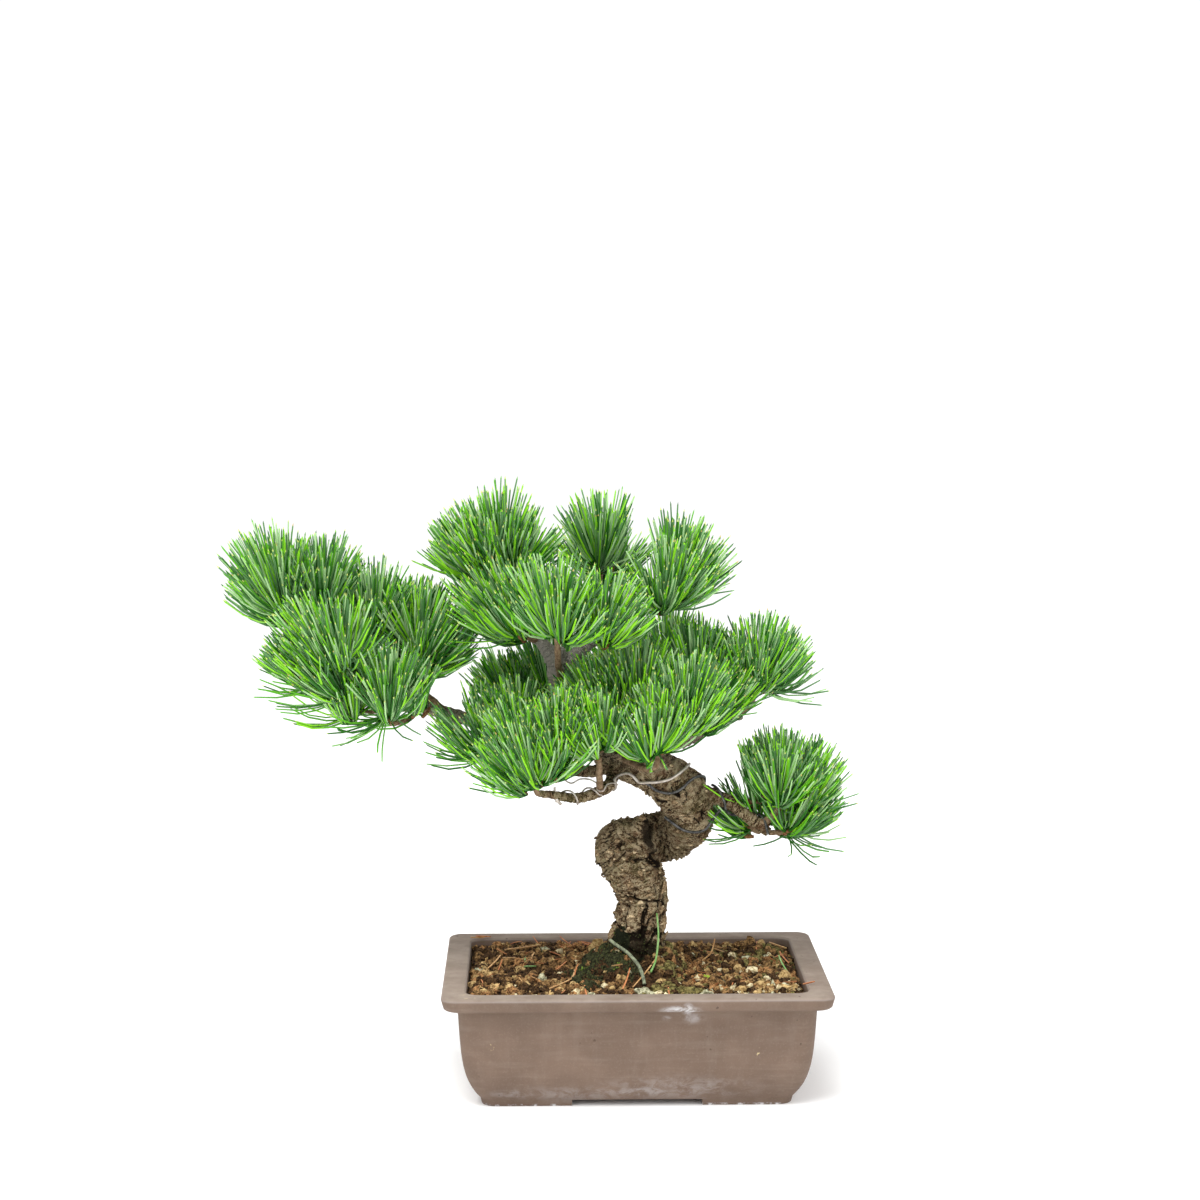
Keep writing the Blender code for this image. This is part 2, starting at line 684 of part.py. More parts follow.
def build_limbs(bark, grey_bark):
    """Trunk and boughs, and where each mass starts, as its foot and its direction there."""
    trunk, upper, trunk_guards = build_trunk(bark)
    limbs = {"trunk": upper}
    guards = {"trunk": trunk_guards}
    pieces = [trunk]
    for name, (parent, place, root, tip, through) in MAIN_BOUGHS.items():
        limbs[name] = main_bough(limbs[parent], place, root, tip, through)
        bough = limbs[name].solid(name, 0.0, bark)
        cut_back(bough, guards[parent])
        guards[name] = [limbs[name].solid(name + "_guard", GAP)]
        pieces.append(bough)
    starts = {}
    for name, (parent, place, heart, right, front, *rest) in MASSES.items():
        limb = limbs[parent]
        if place < 1:
            limb = small_bough(limb, place, Vector(heart) * MM, lean_axes(right, front)[0])
            bough = limb.solid("bough_" + name, 0.0, grey_bark)
            cut_back(bough, guards[parent])
            pieces.append(bough)
        starts[name] = (limb.points[-1], (limb.points[-1] - limb.points[-2]).normalized())
    for guard_list in guards.values():
        for guard in guard_list:
            bpy.data.objects.remove(guard, do_unlink=True)
    return pieces, starts


def build_tree(bark, grey_bark, green):
    """The whole tree. Wood has the first claim on room, then the sprays, mass by mass."""
    pieces, starts = build_limbs(bark, grey_bark)
    limb_trees = [surface_tree(piece) for piece in pieces]
    wood_trees = {}
    woods = {}
    for name, (foot, way) in starts.items():
        others = limb_trees + [tree for trees in wood_trees.values() for tree in trees]
        woods[name] = grow_wood(foot, way, tufts_of(name, *MASSES[name][2:]), others)
        wood_trees[name] = [BVHTree.FromPolygons(*shape) for shape in woods[name][0]]
    spray_trees = []
    for name, (wood, tufts) in woods.items():
        others = [tree for other, trees in wood_trees.items() if other != name for tree in trees]
        sprays = grow_sprays(name, tufts, limb_trees + others + spray_trees)
        spray_trees += [BVHTree.FromPolygons(*spray) for spray in sprays]
        pieces.append(build_mass("needles_" + name, wood, sprays, green))
    return pieces


def main():
    clear_scene()
    clay = material("unglazed_clay", (0.29, 0.21, 0.165), 0.7)
    earth = material("potting_soil", (0.09, 0.05, 0.03), 0.95)
    bark = material("bark", (0.17, 0.115, 0.06), 0.9)
    grey_bark = material("young_bark", (0.26, 0.21, 0.15), 0.85)
    green = material("needles", (0.07, 0.22, 0.03), 0.55)
    pieces = [build_pot(clay), build_soil(earth)]
    pieces += build_tree(bark, grey_bark, green)
    place = bpy.data.objects.new("bonsai", None)
    place.location = (*POT_PLACE, 0.0)
    bpy.context.scene.collection.objects.link(place)
    for piece in pieces:
        piece.parent = place


main()
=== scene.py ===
import math
import random

import bmesh
import bpy
import numpy as np
from mathutils import Matrix, Vector, noise
from mathutils.bvhtree import BVHTree
from mathutils.kdtree import KDTree


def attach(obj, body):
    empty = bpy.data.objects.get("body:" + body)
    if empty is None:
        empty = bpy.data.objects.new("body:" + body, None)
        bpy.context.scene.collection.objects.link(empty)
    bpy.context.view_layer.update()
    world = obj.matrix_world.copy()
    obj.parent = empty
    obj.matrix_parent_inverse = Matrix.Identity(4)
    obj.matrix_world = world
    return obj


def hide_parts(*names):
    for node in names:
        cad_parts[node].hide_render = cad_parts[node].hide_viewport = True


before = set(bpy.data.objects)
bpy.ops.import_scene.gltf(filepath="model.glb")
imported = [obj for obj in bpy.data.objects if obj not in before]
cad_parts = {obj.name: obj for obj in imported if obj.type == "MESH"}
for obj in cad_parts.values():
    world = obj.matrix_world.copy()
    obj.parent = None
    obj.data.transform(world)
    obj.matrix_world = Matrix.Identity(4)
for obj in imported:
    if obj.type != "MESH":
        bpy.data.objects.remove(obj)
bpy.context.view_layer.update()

# The plant stands on a wide pale sheet under a white sky and three large soft lamps, seen
# from a little above the rim of its pot and almost square to the pot's long side.
MM = 0.001
UPWARD = Vector((0, 0, 1))
POT_PLACE = Vector((52.5 * MM, -9.5 * MM, 0))
CAMERA_PLACE = POT_PLACE + Vector((-0.0519, -1.4098, 0.4252))
CAMERA_PITCH = math.radians(90 - 6.403)
CAMERA_TURN = math.radians(-1.348)
CAMERA_LENS = 78
SHEET_REACH = 6
SHEET_COLOUR = (0.96, 0.96, 0.96, 1)
SKY_STRENGTH = 1.06
LAMPS = {
    "lamp_above": ((-0.25, -0.55, 1.5), 0.9, 25),
    "lamp_left": ((-1.3, -1.1, 0.8), 0.9, 10),
    "lamp_right": ((1.3, -0.9, 0.7), 0.9, 8),
}
LAMP_AIM = Vector((0, 0, 0.16))

sheet = bpy.data.objects.new("sheet", bpy.data.meshes.new("sheet"))
shape = bmesh.new()
bmesh.ops.create_circle(shape, cap_ends=True, segments=64, radius=SHEET_REACH)
shape.to_mesh(sheet.data)
shape.free()
bpy.context.scene.collection.objects.link(sheet)
sheet_paper = bpy.data.materials.new("pale_paper")
sheet_paper.use_nodes = True
sheet_paper.node_tree.nodes["Principled BSDF"].inputs["Base Color"].default_value = SHEET_COLOUR
sheet_paper.node_tree.nodes["Principled BSDF"].inputs["Roughness"].default_value = 0.9
sheet.data.materials.append(sheet_paper)

for lamp_name, (lamp_place, lamp_size, lamp_power) in LAMPS.items():
    lamp = bpy.data.objects.new(lamp_name, bpy.data.lights.new(lamp_name, "AREA"))
    lamp.data.size = lamp_size
    lamp.data.energy = lamp_power
    lamp.location = lamp_place
    lamp.rotation_euler = (LAMP_AIM - lamp.location).to_track_quat("-Z", "Y").to_euler()
    bpy.context.scene.collection.objects.link(lamp)

sky = bpy.data.worlds.new("white_sky")
sky.use_nodes = True
sky.node_tree.nodes["Background"].inputs["Color"].default_value = (1, 1, 1, 1)
sky.node_tree.nodes["Background"].inputs["Strength"].default_value = SKY_STRENGTH
bpy.context.scene.world = sky
bpy.context.scene.view_settings.view_transform = "Standard"

camera = bpy.data.objects.new("camera", bpy.data.cameras.new("camera"))
camera.data.lens = CAMERA_LENS
camera.location = CAMERA_PLACE
camera.rotation_euler = (CAMERA_PITCH, 0, CAMERA_TURN)
bpy.context.scene.collection.objects.link(camera)
bpy.context.scene.camera = camera


# The pot is a rectangular tray of unglazed stoneware, pressed in a mould: a flat rim stands
# out over walls that tuck in at the bottom to four low corner feet. Lime has dried on it in
# thin white clouds, and its rim and feet are rubbed paler.
POT_WIDTH = 209 * MM
POT_DEPTH = 150 * MM
POT_HEIGHT = 63.5 * MM
CORNER_RADIUS = 8 * MM
CORNER_STEPS = 10
SIDE_CUTS = 14
RIM_TOP = 13 * MM
RIM_FACE = 7 * MM
RIM_COVE = 2 * MM
RIM_EDGE = 0.9 * MM
RIM_BATTER = 1.3 * MM
BODY_INSET = 8.6 * MM
BODY_BATTER = 3.0 * MM
BODY_TUCK = 8.6 * MM
TUCK_POWER = 4.5
BODY_STEPS = 18
WALL = 5 * MM
FLOOR_TOP = 11.5 * MM
FOOT_HEIGHT = 3.5 * MM
FOOT_TAPER = 0.8 * MM
FOOT_WIDTH = 12 * MM
FRONT_FOOT_GAP = 70 * MM
SIDE_FOOT_GAP = 42 * MM
ARRIS_WIDTH = 0.35 * MM

CLAY = (0.156, 0.107, 0.079, 1)
CLAY_DEEP = (0.121, 0.082, 0.060, 1)
CLAY_GREY = (0.262, 0.214, 0.176, 1)
LIME = (0.54, 0.535, 0.545, 1)
YELLOW_SCALE = (0.50, 0.40, 0.22, 1)
DARK_SPECK = (0.06, 0.04, 0.03, 1)
LIME_CLOUDS = (
    ((26, -76, 54), (5, 14, 9), 1.3),
    ((29, -76, 51), (12, 14, 6), 0.9),
    ((22, -76, 57), (14, 10, 4), 0.9),
    ((15, -76, 51), (5, 14, 3), 0.8),
    ((20, -70, 10), (62, 30, 12), 0.20),
    ((-30, -70, 7), (60, 30, 9), 0.18),
    ((2, -60, 9), (30, 26, 5), 0.24),
    ((-62, -60, 8), (24, 22, 4), 0.18),
    ((-90, 20, 12), (24, 40, 8), 0.4),
    ((20, 64, 12), (46, 24, 9), 0.45),
)
YELLOW_PLACES = (
    ((64.8, -66, 31), (3, 8, 5)),
    ((-78.6, -66, 36), (3, 8, 4)),
    ((88, -50, 20), (4, 10, 5)),
    ((-88, -66, 63), (9, 8, 2)),
)


class Shade:
    """One output of a node. Arithmetic on it adds Math nodes to the same finish."""

    def __init__(self, finish, socket):
        self.finish = finish
        self.socket = socket

    def math(self, operation, first, second, clamp=False):
        settings = {"operation": operation, "use_clamp": clamp}
        return self.finish.node("ShaderNodeMath", settings, {0: first, 1: second})

    def __add__(self, other):
        return self.math("ADD", self, other)

    def __sub__(self, other):
        return self.math("SUBTRACT", self, other)

    def __rsub__(self, other):
        return self.math("SUBTRACT", other, self)

    def __mul__(self, other):
        return self.math("MULTIPLY", self, other)

    def __truediv__(self, other):
        return self.math("DIVIDE", self, other)

    def __pow__(self, other):
        return self.math("POWER", self, other)

    __radd__ = __add__
    __rmul__ = __mul__

    def most(self, other):
        return self.math("MAXIMUM", self, other)

    def between(self, low, high):
        """0 below the low value, 1 above the high one, and a smooth step from one to the other."""
        settings = {"interpolation_type": "SMOOTHSTEP"}
        return self.finish.node("ShaderNodeMapRange", settings, {0: self, 1: low, 2: high})


class Finish:
    """A procedural finish round one Principled surface."""

    def __init__(self, name, roughness, specular=0.5):
        self.material = bpy.data.materials.new(name)
        self.material.use_nodes = True
        self.tree = self.material.node_tree
        self.surface = self.tree.nodes["Principled BSDF"]
        self.feed("Roughness", roughness)
        self.feed("Specular IOR Level", specular)
        self.place = self.node("ShaderNodeTexCoord", output="Object")

    def node(self, kind, settings=None, inputs=None, output=0):
        made = self.tree.nodes.new(kind)
        for key, value in (settings or {}).items():
            setattr(made, key, value)
        for key, value in (inputs or {}).items():
            self.join(made.inputs[key], value)
        return Shade(self, made.outputs[output])

    def join(self, socket, value):
        if isinstance(value, Shade):
            self.tree.links.new(value.socket, socket)
        else:
            socket.default_value = value

    def feed(self, name, value):
        self.join(self.surface.inputs[name], value)

    def grain(self, scale, detail=2.0, rough=0.5, stretch=(1, 1, 1), twist=0.0, over=None):
        """Cloudy noise with features of about one over the scale, in metres."""
        at = self.node("ShaderNodeMapping", None, {"Vector": over or self.place, "Scale": stretch})
        sockets = {"Vector": at, "Scale": scale, "Detail": detail, "Roughness": rough}
        return self.node("ShaderNodeTexNoise", None, {**sockets, "Distortion": twist})

    def mix(self, part, first, second):
        """The first colour where the part is 0, and the second where it is 1."""
        sockets = {0: part, 6: first, 7: second}
        return self.node("ShaderNodeMix", {"data_type": "RGBA"}, sockets, output=2)

    def shards(self, scale, stretch, over, ragged):
        """A random grey for each flake of a split surface, and how far a point is from its edge."""
        at = self.node("ShaderNodeMapping", None, {"Vector": over, "Scale": stretch})
        jumble = {"Vector": at, "Scale": scale * 1.7, "Detail": 3.0}
        jumble = self.node("ShaderNodeTexNoise", None, jumble, output="Color")
        at = self.node("ShaderNodeVectorMath", {"operation": "MULTIPLY_ADD"}, {0: jumble, 1: (ragged,) * 3, 2: at})
        shade = self.node("ShaderNodeTexVoronoi", None, {"Vector": at, "Scale": scale}, output="Color")
        edge = self.node("ShaderNodeTexVoronoi", {"feature": "DISTANCE_TO_EDGE"}, {"Vector": at, "Scale": scale})
        return self.node("ShaderNodeSeparateColor", None, {0: shade}), edge

    def patch(self, middle, size):
        """1 at the middle of an egg-shaped patch, in millimetres from the pot's middle, 0 outside."""
        centre = POT_PLACE + Vector(middle) * MM
        shift = self.node("ShaderNodeVectorMath", {"operation": "SUBTRACT"}, {0: self.place, 1: centre})
        sides = {0: shift, 1: [1 / (s * MM) for s in size]}
        scaled = self.node("ShaderNodeVectorMath", {"operation": "MULTIPLY"}, sides)
        far = self.node("ShaderNodeVectorMath", {"operation": "LENGTH"}, {0: scaled}, output="Value")
        return 1 - far.between(0.25, 1.0)

    def relief(self, height, distance, strength=1.0):
        sockets = {"Height": height, "Distance": distance, "Strength": strength}
        self.feed("Normal", self.node("ShaderNodeBump", None, sockets))


def ring_reach(old_middle, new_middle, value):
    """Where a point of a rounded rectangle goes when its corners' middles move."""
    if abs(value) > old_middle:
        return math.copysign(new_middle + abs(value) - old_middle, value)
    return value * new_middle / old_middle


def raise_ring(shape, face, old_inset, inset, height):
    """Extrude the open end of the pot to the next ring of its profile."""
    made = bmesh.ops.extrude_face_region(shape, geom=[face, *face.edges])["geom"]
    end = [item for item in made if isinstance(item, bmesh.types.BMFace)][0]
    for vert in end.verts:
        middles = [side / 2 - CORNER_RADIUS for side in (POT_WIDTH, POT_DEPTH)]
        for axis, middle in enumerate(middles):
            vert.co[axis] = ring_reach(middle - old_inset, middle - inset, vert.co[axis])
        vert.co.z = height
    return end


def body_inset(height):
    part = (POT_HEIGHT - RIM_FACE - RIM_COVE - height) / (POT_HEIGHT - RIM_FACE - RIM_COVE - FOOT_HEIGHT)
    return BODY_INSET + BODY_BATTER * part + BODY_TUCK * part ** TUCK_POWER


def pot_profile():
    """Inset and height of each ring: up the outer wall, over the rim and down inside."""
    top = POT_HEIGHT - RIM_FACE - RIM_COVE
    wall = [FOOT_HEIGHT + (top - FOOT_HEIGHT) * (k / BODY_STEPS) ** 1.6 for k in range(BODY_STEPS + 1)]
    rings = [(body_inset(height), height) for height in wall]
    rings.append((RIM_BATTER + RIM_EDGE, POT_HEIGHT - RIM_FACE))
    rings.append((RIM_BATTER, POT_HEIGHT - RIM_FACE + RIM_EDGE))
    rings.append((0.0, POT_HEIGHT - RIM_EDGE))
    rings.append((RIM_EDGE, POT_HEIGHT))
    rings.append((RIM_TOP - RIM_EDGE, POT_HEIGHT))
    rings.append((RIM_TOP, POT_HEIGHT - RIM_EDGE))
    rings += [(body_inset(height) + WALL, height) for height in reversed(wall) if height > FLOOR_TOP]
    return rings


def new_piece(name, shape, materials=()):
    made = bpy.data.objects.new(name, bpy.data.meshes.new(name))
    shape.to_mesh(made.data)
    shape.free()
    bpy.context.scene.collection.objects.link(made)
    for finish in materials:
        made.data.materials.append(finish.material)
    return made


def settle(piece):
    """Turn a piece's modifiers into its mesh."""
    graph = bpy.context.evaluated_depsgraph_get()
    result = bpy.data.meshes.new_from_object(piece.evaluated_get(graph))
    piece.modifiers.clear()
    piece.data = result


def block(shape, half_x, half_y, half_z):
    made = bmesh.ops.create_cube(shape, size=2)["verts"]
    bmesh.ops.scale(shape, vec=(half_x, half_y, half_z), verts=made)


foot_inset = body_inset(FOOT_HEIGHT) + FOOT_TAPER
shape = bmesh.new()
bmesh.ops.create_grid(shape, x_segments=1, y_segments=1, size=0.5)
bmesh.ops.scale(shape, vec=(POT_WIDTH - 2 * foot_inset, POT_DEPTH - 2 * foot_inset, 1), verts=shape.verts)
bmesh.ops.bevel(shape, geom=shape.verts[:], offset=CORNER_RADIUS, offset_type="OFFSET", affect="VERTICES",
                segments=CORNER_STEPS, profile=0.5, material=-1)
straight = [edge for edge in shape.edges if edge.calc_length() > 2 * CORNER_RADIUS]
bmesh.ops.subdivide_edges(shape, edges=straight, cuts=SIDE_CUTS)
open_end = shape.faces[:][0]
last_inset = foot_inset
for ring_inset, ring_height in pot_profile():
    open_end = raise_ring(shape, open_end, last_inset, ring_inset, ring_height)
    last_inset = ring_inset
bmesh.ops.recalc_face_normals(shape, faces=shape.faces[:])
clay = Finish("unglazed_clay", 0.72, 0.2)
pot = new_piece("clay_pot", shape, [clay])

foot_cuts = bpy.data.collections.new("foot_cuts")
bpy.context.scene.collection.children.link(foot_cuts)
shape = bmesh.new()
block(shape, POT_WIDTH / 2 - foot_inset - FOOT_WIDTH, POT_DEPTH / 2 - foot_inset - FOOT_WIDTH, FOOT_HEIGHT)
hollow_under = new_piece("hollow_under", shape)
shape = bmesh.new()
block(shape, FRONT_FOOT_GAP / 2, POT_DEPTH / 2, FOOT_HEIGHT)
gap_in_front = new_piece("gap_in_front", shape)
shape = bmesh.new()
block(shape, POT_WIDTH / 2, SIDE_FOOT_GAP / 2, FOOT_HEIGHT)
gap_at_side = new_piece("gap_at_side", shape)
for cut in (hollow_under, gap_in_front, gap_at_side):
    bpy.context.scene.collection.objects.unlink(cut)
    foot_cuts.objects.link(cut)
feet = pot.modifiers.new("feet", "BOOLEAN")
feet.operation = "DIFFERENCE"
feet.operand_type = "COLLECTION"
feet.collection = foot_cuts
settle(pot)
for cut in (hollow_under, gap_in_front, gap_at_side):
    bpy.data.objects.remove(cut, do_unlink=True)
bpy.data.collections.remove(foot_cuts)
arris = pot.modifiers.new("arris", "BEVEL")
arris.width = ARRIS_WIDTH
arris.segments = 2
arris.limit_method = "ANGLE"
arris.angle_limit = math.radians(40)
settle(pot)
pot.data.transform(Matrix.Translation(POT_PLACE))
pot.data.shade_smooth()
pot.data.set_sharp_from_angle(angle=math.radians(32))

split = clay.node("ShaderNodeSeparateXYZ", None, {0: clay.place}, output="Z")
cloudy = clay.grain(34, 4, 0.6, twist=0.4)
fine = clay.grain(420, 3, 0.6)
wiped = clay.grain(150, 3, 0.65, stretch=(1, 1, 0.16))
brushed = clay.grain(230, 2, 0.6, stretch=(0.12, 0.12, 1))
tone = clay.mix(cloudy.between(0.3, 0.75), CLAY_DEEP, CLAY)
tone = clay.mix((wiped.between(0.45, 0.8) + brushed.between(0.45, 0.8) * 1.6) * 0.10, tone, CLAY_GREY)
tone = clay.mix(clay.grain(900, 3, 0.6).between(0.5, 0.75) * 0.14, tone, CLAY_GREY)
facing_up = clay.node("ShaderNodeNewGeometry", output="Normal")
level = clay.node("ShaderNodeSeparateXYZ", None, {0: facing_up}, output="Z").between(0.3, 0.95)
rim_top = level * split.between(POT_HEIGHT - 4 * MM, POT_HEIGHT - 2 * MM)
tone = clay.mix(rim_top * (0.35 + 0.5 * clay.grain(60, 4, 0.6).between(0.35, 0.7)), tone, CLAY_GREY)
rubbed_rim = split.between(POT_HEIGHT - 1.9 * MM, POT_HEIGHT - 0.5 * MM) * (1 - level)
rubbed_foot = 1 - split.between(0.5 * MM, 1.6 * MM)
rubbed = (rubbed_rim * 0.18).most(rubbed_foot * clay.grain(190, 4, 0.7).between(0.5, 0.62))
tone = clay.mix(rubbed, tone, LIME)
streaky = clay.grain(150, 6, 0.75, stretch=(0.6, 0.6, 1.0), twist=0.5)
lime = None
for middle, size, strength in LIME_CLOUDS:
    cloud = clay.patch(middle, size) * streaky.between(0.40, 0.60) * strength
    lime = cloud if lime is None else lime.most(cloud)
tone = clay.mix(lime, tone, LIME)
flakes = clay.grain(480, 3, 0.6).between(0.6, 0.68)
for middle, size in YELLOW_PLACES:
    tone = clay.mix(clay.patch(middle, size) * flakes, tone, YELLOW_SCALE)
tone = clay.mix(clay.grain(260, 1, 0.4).between(0.76, 0.8) * 0.7, tone, DARK_SPECK)
clay.feed("Base Color", tone)
clay.feed("Roughness", 0.62 + 0.2 * cloudy)
clay.relief(fine * 0.5 + wiped * 0.35 + brushed * 0.3, 0.35 * MM, 0.6)
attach(pot, "root")
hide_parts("pot")


# The soil is a free-draining mix that fills the pot almost to its rim: brown granules of baked
# clay and bark, with pale pumice mostly at the front right. Black-green moss grows on it
# against the left of the trunk, and dry needles have dropped on it.
GROUND = 58.7 * MM
SOIL_HALF_X = 91.3 * MM
SOIL_HALF_Y = 61.8 * MM
SOIL_SWELL = 0.5 * MM
BED_CELLS = (150, 102)
MOUND_RISE = 14 * MM
MOUND_REACH = (15 * MM, 33 * MM)
MOUND_HOLLOW = 0.42
MOUND_FRONT = 0.85
CRUMBS = 3000
CRUMB_SIZES = (0.7 * MM, 1.6 * MM)
GRANULES = 1500
GRANULE_SIZES = (1.5 * MM, 3.3 * MM)
PEBBLES = 300
PEBBLE_SIZES = (0.8 * MM, 2.2 * MM)
DRY_NEEDLES = 60
EARTH_COLOURS = {
    "earth_dark": ((0.008, 0.004, 0.002, 1), (0.090, 0.048, 0.020, 1)),
    "earth_brown": ((0.030, 0.014, 0.005, 1), (0.320, 0.185, 0.075, 1)),
    "earth_red": ((0.050, 0.020, 0.007, 1), (0.430, 0.225, 0.090, 1)),
    "earth_moss": ((0.008, 0.009, 0.004, 1), (0.055, 0.058, 0.024, 1)),
    "earth_olive": ((0.030, 0.025, 0.008, 1), (0.240, 0.200, 0.070, 1)),
    "earth_ochre": ((0.130, 0.072, 0.026, 1), (0.600, 0.420, 0.190, 1)),
}
DARK, BROWN, RED, MOSSY, OLIVE, OCHREOUS = range(6)
PEBBLE_COLOURS = {
    "pumice_cream": ((0.28, 0.21, 0.10, 1), (0.76, 0.67, 0.44, 1)),
    "pumice_ochre": ((0.17, 0.10, 0.035, 1), (0.46, 0.32, 0.14, 1)),
    "pumice_grey": ((0.13, 0.125, 0.070, 1), (0.52, 0.50, 0.34, 1)),
}
CREAM, OCHRE, GREY = range(3)
# Stones that catch the eye: place in millimetres, half size, and finish
LARGE_PEBBLES = (
    (75, 47, 3.2, OCHRE), (56, 24, 2.6, CREAM), (64, 15, 3.0, GREY), (76, 24, 2.4, GREY), (79, 25, 2.4, OCHRE),
    (65, -11, 2.8, CREAM), (34, -27, 1.8, CREAM), (37, -40, 1.4, GREY), (82, -26, 4.2, OCHRE),
    (56, -49, 2.8, OCHRE), (61, -41, 2.0, CREAM), (30, -44, 1.6, CREAM), (5, -50, 3.4, GREY),
    (11, -51, 2.0, CREAM), (53, -54, 1.8, CREAM), (80, -41, 2.0, GREY), (76, -47, 1.6, CREAM),
    (85, -42, 2.0, OCHRE), (37, -53, 2.8, GREY), (-41, 36, 2.2, CREAM), (-49, 41, 2.2, GREY),
    (-31, 18, 1.5, CREAM), (-20, 40, 4.1, OCHRE), (-17, 53, 1.3, GREY), (-51, -25, 2.6, GREY),
    (-17, -38, 2.2, CREAM), (-33, -52, 2.1, CREAM), (-24, -53, 2.3, GREY), (-14, -44, 2.1, OCHRE),
    (0, -46, 2.0, GREY), (12, -51, 1.7, CREAM), (-55, -53, 1.8, CREAM), (-86, 2, 2.3, GREY),
    (-87, -15, 2.3, OCHRE), (-76, -7, 1.5, OCHRE), (-69, -33, 1.6, OCHRE), (-6, -52, 1.7, OCHRE),
)
# Big brown granules: place in millimetres and half size
LARGE_GRANULES = ((62, 46, 2.6), (68, 45, 3.8), (42, -33, 3.4), (72, 40, 2.6), (28, -36, 2.6), (-12, -37, 2.8))
# Where moss grows: place and reach in millimetres
MOSS_PLACES = (
    (-19, 30, 4), (-22, 20, 5), (-23, 8, 6), (-25, -4, 7), (-28, -16, 8), (-27, -28, 8), (-24, -40, 6),
    (-16, -8, 9), (-11, -19, 8), (-20, -14, 8), (-2, -26, 6),
)
MOSS_RISE = 4.0 * MM
MOSS_LUMPS = 5.5


def crumb_shape(seed, roundness, rough):
    """One crumb of unit size, as arrays of corners and triangles."""
    shape = bmesh.new()
    bmesh.ops.create_icosphere(shape, subdivisions=roundness, radius=1)
    for vert in shape.verts:
        shift = Vector((seed * 7.1, 0, 0))
        vert.co *= 1 + rough * (noise.noise(vert.co * 1.2 + shift) + 0.5 * noise.noise(vert.co * 2.9 + shift))
    corners = np.array([vert.co[:] for vert in shape.verts])
    triangles = np.array([[vert.index for vert in face.verts] for face in shape.faces])
    shape.free()
    return corners, triangles


def joined_mesh(name, corners, loops, starts, kinds, finishes, smooth=False):
    """One object from arrays of corners, of faces laid end to end, and of each face's finish."""
    mesh = bpy.data.meshes.new(name)
    mesh.vertices.add(len(corners))
    mesh.vertices.foreach_set("co", np.asarray(corners, np.float32).ravel())
    mesh.loops.add(len(loops))
    mesh.loops.foreach_set("vertex_index", np.asarray(loops, np.int32))
    mesh.polygons.add(len(starts))
    mesh.polygons.foreach_set("loop_start", np.asarray(starts, np.int32))
    mesh.polygons.foreach_set("material_index", np.asarray(kinds, np.int32))
    mesh.polygons.foreach_set("use_smooth", np.full(len(starts), smooth))
    for finish in finishes:
        mesh.materials.append(finish.material)
    mesh.update(calc_edges=True)
    made = bpy.data.objects.new(name, mesh)
    bpy.context.scene.collection.objects.link(made)
    return made


def strew(name, shapes, places, finishes, smooth=False):
    """Copies of a few shapes, each at its place, size, turn and finish, as one object."""
    corners = []
    loops = []
    kinds = []
    count = 0
    for which, place, size, turn, kind in places:
        points, triangles = shapes[which]
        spin = np.array(turn.to_matrix()).T
        corners.append(points * size @ spin + np.array(place))
        loops.append(triangles.ravel() + count)
        kinds.append(np.full(len(triangles), kind))
        count += len(points)
    loops = np.concatenate(loops)
    starts = np.arange(0, len(loops), 3)
    return joined_mesh(name, np.concatenate(corners), loops, starts, np.concatenate(kinds), finishes, smooth)


def any_turn(chance):
    axis = Vector([chance.gauss(0, 1) for k in range(3)]).normalized()
    return Matrix.Rotation(chance.uniform(0, 2 * math.pi), 3, axis).to_quaternion()


soil_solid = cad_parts["soil"]
soil_tree = BVHTree.FromPolygons([soil_solid.matrix_world @ vertex.co for vertex in soil_solid.data.vertices],
                                 [face.vertices for face in soil_solid.data.polygons])


def mossy(x, y):
    """How much moss there is at a place in the pot, from 0 to 1."""
    return max(math.exp(-((x / MM - a) ** 2 + (y / MM - b) ** 2) / reach ** 2) for a, b, reach in MOSS_PLACES)


def mound(x, y):
    """How far the soil is heaped up round the foot of the trunk, less right in front of it."""
    far = math.hypot(x - 1.2 * MM, (y + MM) * (MOUND_FRONT if y < -MM else 1))
    part = min(max((far - MOUND_REACH[0]) / (MOUND_REACH[1] - MOUND_REACH[0]), 0.0), 1.0)
    hollow = math.exp(-((x - 3 * MM) / (13 * MM)) ** 2 - ((y + 21 * MM) / (12 * MM)) ** 2)
    return MOUND_RISE * (1 - MOUND_HOLLOW * hollow) * (1 - part * part * (3 - 2 * part))


def soil_top(x, y):
    """Height above the table at a place in the pot: the solid's lumps, the mound and finer lumps."""
    above = POT_PLACE + Vector((x, y, 1))
    hit = soil_tree.ray_cast(above, Vector((0, 0, -1)))[0]
    moss = mossy(x, y)
    swell = noise.noise(Vector((x * 70, y * 70, 5))) + moss * MOSS_LUMPS * noise.noise(Vector((x * 190, y * 190, 8)))
    return (hit.z if hit else GROUND) + SOIL_SWELL * swell + MOSS_RISE * moss + mound(x, y)


def pale_share(x, y):
    """How much of the soil is pumice at a place: most at the front right, some along the front."""
    right_front = math.exp(-((x - 70 * MM) / (24 * MM)) ** 2 - ((y + 48 * MM) / (16 * MM)) ** 2)
    front = 0.2 * math.exp(-((y + 58 * MM) / (8 * MM)) ** 2) * (1 if x > -45 * MM else 0.3)
    return 0.012 + 0.9 * right_front + front + 0.05 * (x > 10 * MM)


def two_tone(name, colours, roughness, scale, bump):
    """A finish that varies between two colours, with a matching roughness of surface."""
    finish = Finish(name, roughness, 0.12)
    spots = finish.grain(scale, 4, 0.75)
    finish.feed("Base Color", finish.mix(spots.between(0.36, 0.64), *colours))
    finish.relief(finish.grain(scale * 3, 3, 0.6), bump, 0.8)
    return finish


